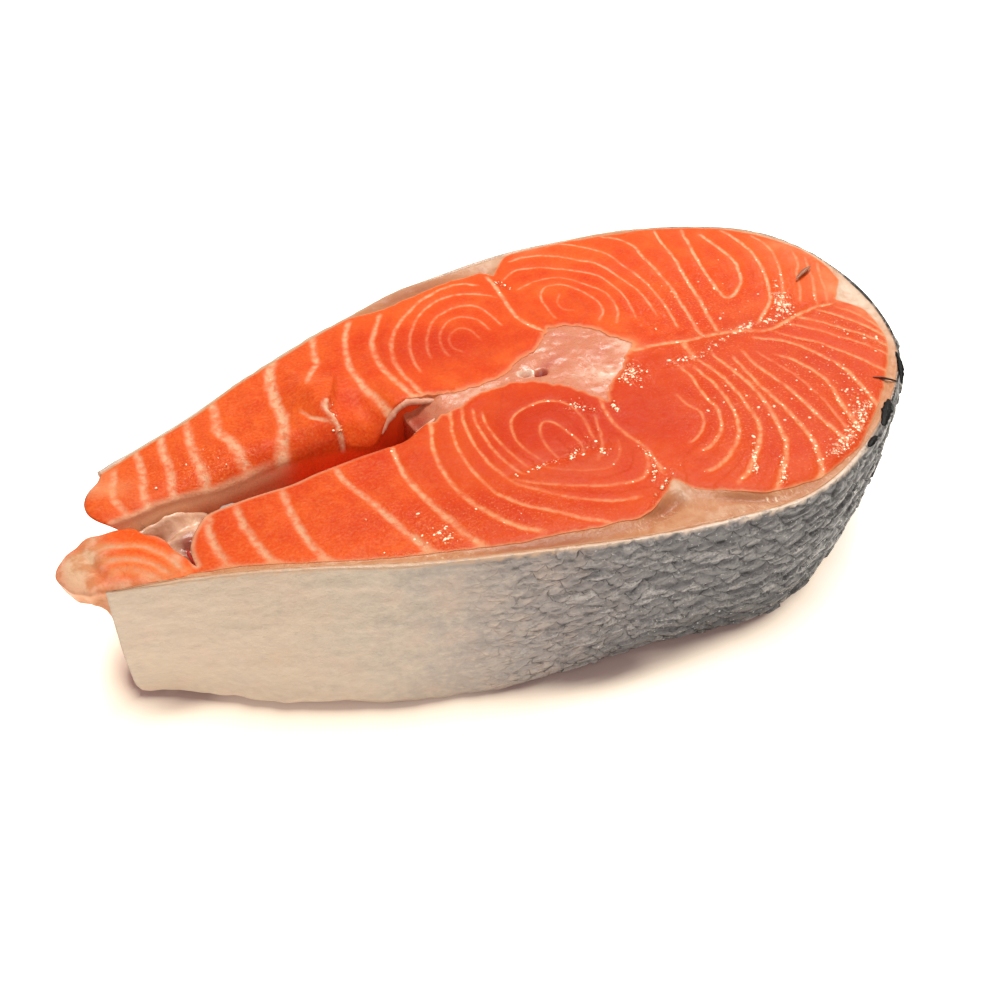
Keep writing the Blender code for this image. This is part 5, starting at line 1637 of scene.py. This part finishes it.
def wet_beads(finish):
    """Tiny drops of moisture that catch the light on the cut face."""
    places = bead_places()
    heights = face_height(*places.T) - groove_depth(layers(places))
    beads = Pieces()
    turn = np.linspace(0, 2 * math.pi, BEAD_SIDES, endpoint=False)
    least, more, rare = BEAD_SIZES
    for (x, y), height in zip(places, heights):
        size = least + more * RANDOM.uniform(0, 1)**rare
        long, lean = RANDOM.uniform(0.8, 1.8), RANDOM.uniform(0, math.pi)
        a, b = turned(size * long * np.cos(turn), size * np.sin(turn), lean)
        rings = [np.column_stack([x + reach * a, y + reach * b, np.full(BEAD_SIDES, height + lift * size)])
                 for reach, lift in BEAD_RINGS]
        beads.add(*tube(rings), RANDOM.uniform(0, 1))
    return beads.made("wet_beads", finish, "flesh")


def strands(name, rows, finish, slot):
    """Small strands that lie on the cut face or its rim."""
    gathered = Pieces()
    for path, half_width, half_thickness in rows:
        fine = smooth(path, STRAND_STEP)
        fine[:, 2] += rim_height(fine[:, 0], fine[:, 1])
        taper = np.sin(np.linspace(0.12, math.pi - 0.12, len(fine)))**0.6
        wobble = 1 + 0.35 * rough(fine, 0.8, 71.0)
        gathered.add(*strand(fine, half_width * taper * wobble, half_thickness * taper), RANDOM.uniform(0, 1))
    return gathered.made(name, finish, slot)


# The strands: name, paths, finish with its two colours, roughness and gloss, and slot.
STRANDS = (
    ("skin_tatters", TATTERS, "black fray", (0.002, 0.002, 0.002), (0.012, 0.011, 0.010), 0.4, 0.08, "skin"),
    ("silver_scrap", SCRAP, "silver scrap", (0.30, 0.24, 0.20), (0.42, 0.36, 0.32), 0.25, 0.3, "lining"),
    ("blood_crack", CRACK, "blood crack", (0.30, 0.010, 0.003), (0.44, 0.018, 0.006), 0.45, 0.3, "flesh"),
    ("dark_sliver", SLIVER, "brown sliver", (0.24, 0.07, 0.03), (0.34, 0.13, 0.06), 0.35, 0.3, "flesh"),
    ("pale_tissue", TISSUE, "pale tissue", (0.60, 0.23, 0.13), (0.72, 0.42, 0.29), 0.45, 0.3, "lining"),
)


# ---------------------------------------------------------------- stage

# Area lights: place and aim in millimetres, width, watts and colour.
LIGHTS = (
    ("key", (150.0, 190.0, 640.0), (10.0, 0.0, 20.0), 300.0, 4.4, (1.0, 0.985, 0.96)),
    ("back", (330.0, 260.0, 300.0), (20.0, 0.0, 30.0), 50.0, 0.3, (1.0, 0.99, 0.97)),
    ("front", (-240.0, -490.0, 400.0), (0.0, 0.0, 15.0), 420.0, 1.1, (1.0, 0.975, 0.95)),
)
WORLD = (1.0, 0.985, 0.965)
WORLD_STRENGTH = 0.40
# The floor: how far it reaches, its rows of points round the steak's foot, and the half sizes and spacing of
# the grid beyond them. Then the strength and reach of the narrow shadow at the foot and of the wide faint
# one, and the deeper ones beside them.
FLOOR_FAR = 3000.0
FLOOR_ROWS = (0.3, 0.8, 1.4, 2.2, 3.2, 4.6, 6.4, 8.8, 12.0)
FLOOR_GRID = (150.0, 110.0, 5.0)
CONTACT = (0.6, 1.1)
PENUMBRA = (0.42, 7.4)
SHADOWS = ((0.45, 8.0, -46.8, 22.0, 5.4, 0), (0.4, -7.0, -45.5, 13.0, 3.6, -14),
           (0.25, 28.0, -45.0, 12.0, 4.0, 5), (0.3, -80.0, -18.5, 6.0, 3.0, -10),
           (0.35, -85.5, 0.0, 5.0, 13.0, 0))
SHADOW_TINT = (0.50, 0.38, 0.34)
FLOOR_CREAM = (0.95, 0.90, 0.80)
FLOOR_PALE = (0.96, 0.91, 0.82)
FLOOR_GLOW = ((0.0, (0.87, 0.84, 0.80)), (0.45, (0.73, 0.60, 0.46)), (1.0, (0.04, 0.02, 0.02)))


def aimed(made, place, direction):
    """Puts a camera or a light at a place of the plan, turned to a direction."""
    made.location = in_frame(place)
    made.rotation_euler = Vector(direction).to_track_quat("-Z", "Y").to_euler()
    return made


def stage():
    """Camera, lights and the pale floor."""
    scene = bpy.context.scene
    scene.view_settings.view_transform = "Standard"
    scene.camera = aimed(shown("camera", bpy.data.cameras.new("camera")), CAMERA_PLACE, CAMERA_AIM)
    scene.camera.data.lens = LENS
    scene.camera.data.sensor_width = SENSOR
    scene.camera.data.clip_start = 0.01
    for name, place, aim, width, watts, colour in LIGHTS:
        lamp = bpy.data.lights.new(name, "AREA")
        lamp.size = width * MM
        lamp.energy = watts
        lamp.color = colour
        aimed(shown(name, lamp), place, np.subtract(aim, place))
    scene.world = bpy.data.worlds.new("studio")
    scene.world.use_nodes = True
    sky = scene.world.node_tree.nodes["Background"]
    sky.inputs["Color"].default_value = (*WORLD, 1)
    sky.inputs["Strength"].default_value = WORLD_STRENGTH
    studio_floor()


def floor_finish():
    """Pale and evenly bright, with the steak's shadow painted into the floor's colour and glow."""
    f = Finish("pale floor", Specular_IOR_Level=0.1, Emission_Strength=1.0)
    shade = f.field("shade")
    f.feed("Emission Color", f.ramp(FLOOR_GLOW, shade))
    f.colour = f.mix(shade, f.mix(f.grain(80.0, 2), FLOOR_CREAM, FLOOR_PALE), SHADOW_TINT)
    return f.done(0.9)


def studio_floor():
    """A pale, evenly bright floor, with a painted shadow round the steak's foot."""
    flank = Flank(1.5)
    foot = np.vstack([flank.at(0.2, 0), flesh_outlines(flank)[0][0][len(flank.edge):]])
    rows = [foot + outward(foot, closed=True) * reach for reach in FLOOR_ROWS]
    wide, deep, step = FLOOR_GRID
    around = np.array([(-1, -1), (1, -1), (1, 1), (-1, 1)])
    grid = hex_grid(around * (wide, deep), step)
    points = np.vstack([*rows, grid[distance(grid, foot, closed=True) > FLOOR_ROWS[-1]]])
    corners = FLOOR_FAR * around
    faces = cap(corners, points)
    points = np.vstack([corners, points])
    gap = distance(points, foot, closed=True) * ~inside(points, foot)
    (narrow, narrow_reach), (faint, faint_reach) = CONTACT, PENUMBRA
    shade = narrow * np.exp(-gap / narrow_reach) + faint * np.exp(-(gap / faint_reach)**2)
    fields = {"shade": np.clip(shade + mounds(points, SHADOWS), 0, 1)}
    floor = shown("floor", mesh_of("floor", at_height(points, 0.0), faces, fields, floor_finish()))


def main():
    """The stage and every piece."""
    stage()
    flesh(flesh_finish())
    fat_band(fat_finish())
    scaled_skin(skin_finish())
    backbone(bone_finish())
    belly_membrane(membrane_finish())
    wet_beads(bead_finish())
    for name, rows, *finish, slot in STRANDS:
        strands(name, rows, tinted_finish(*finish), slot)


main()
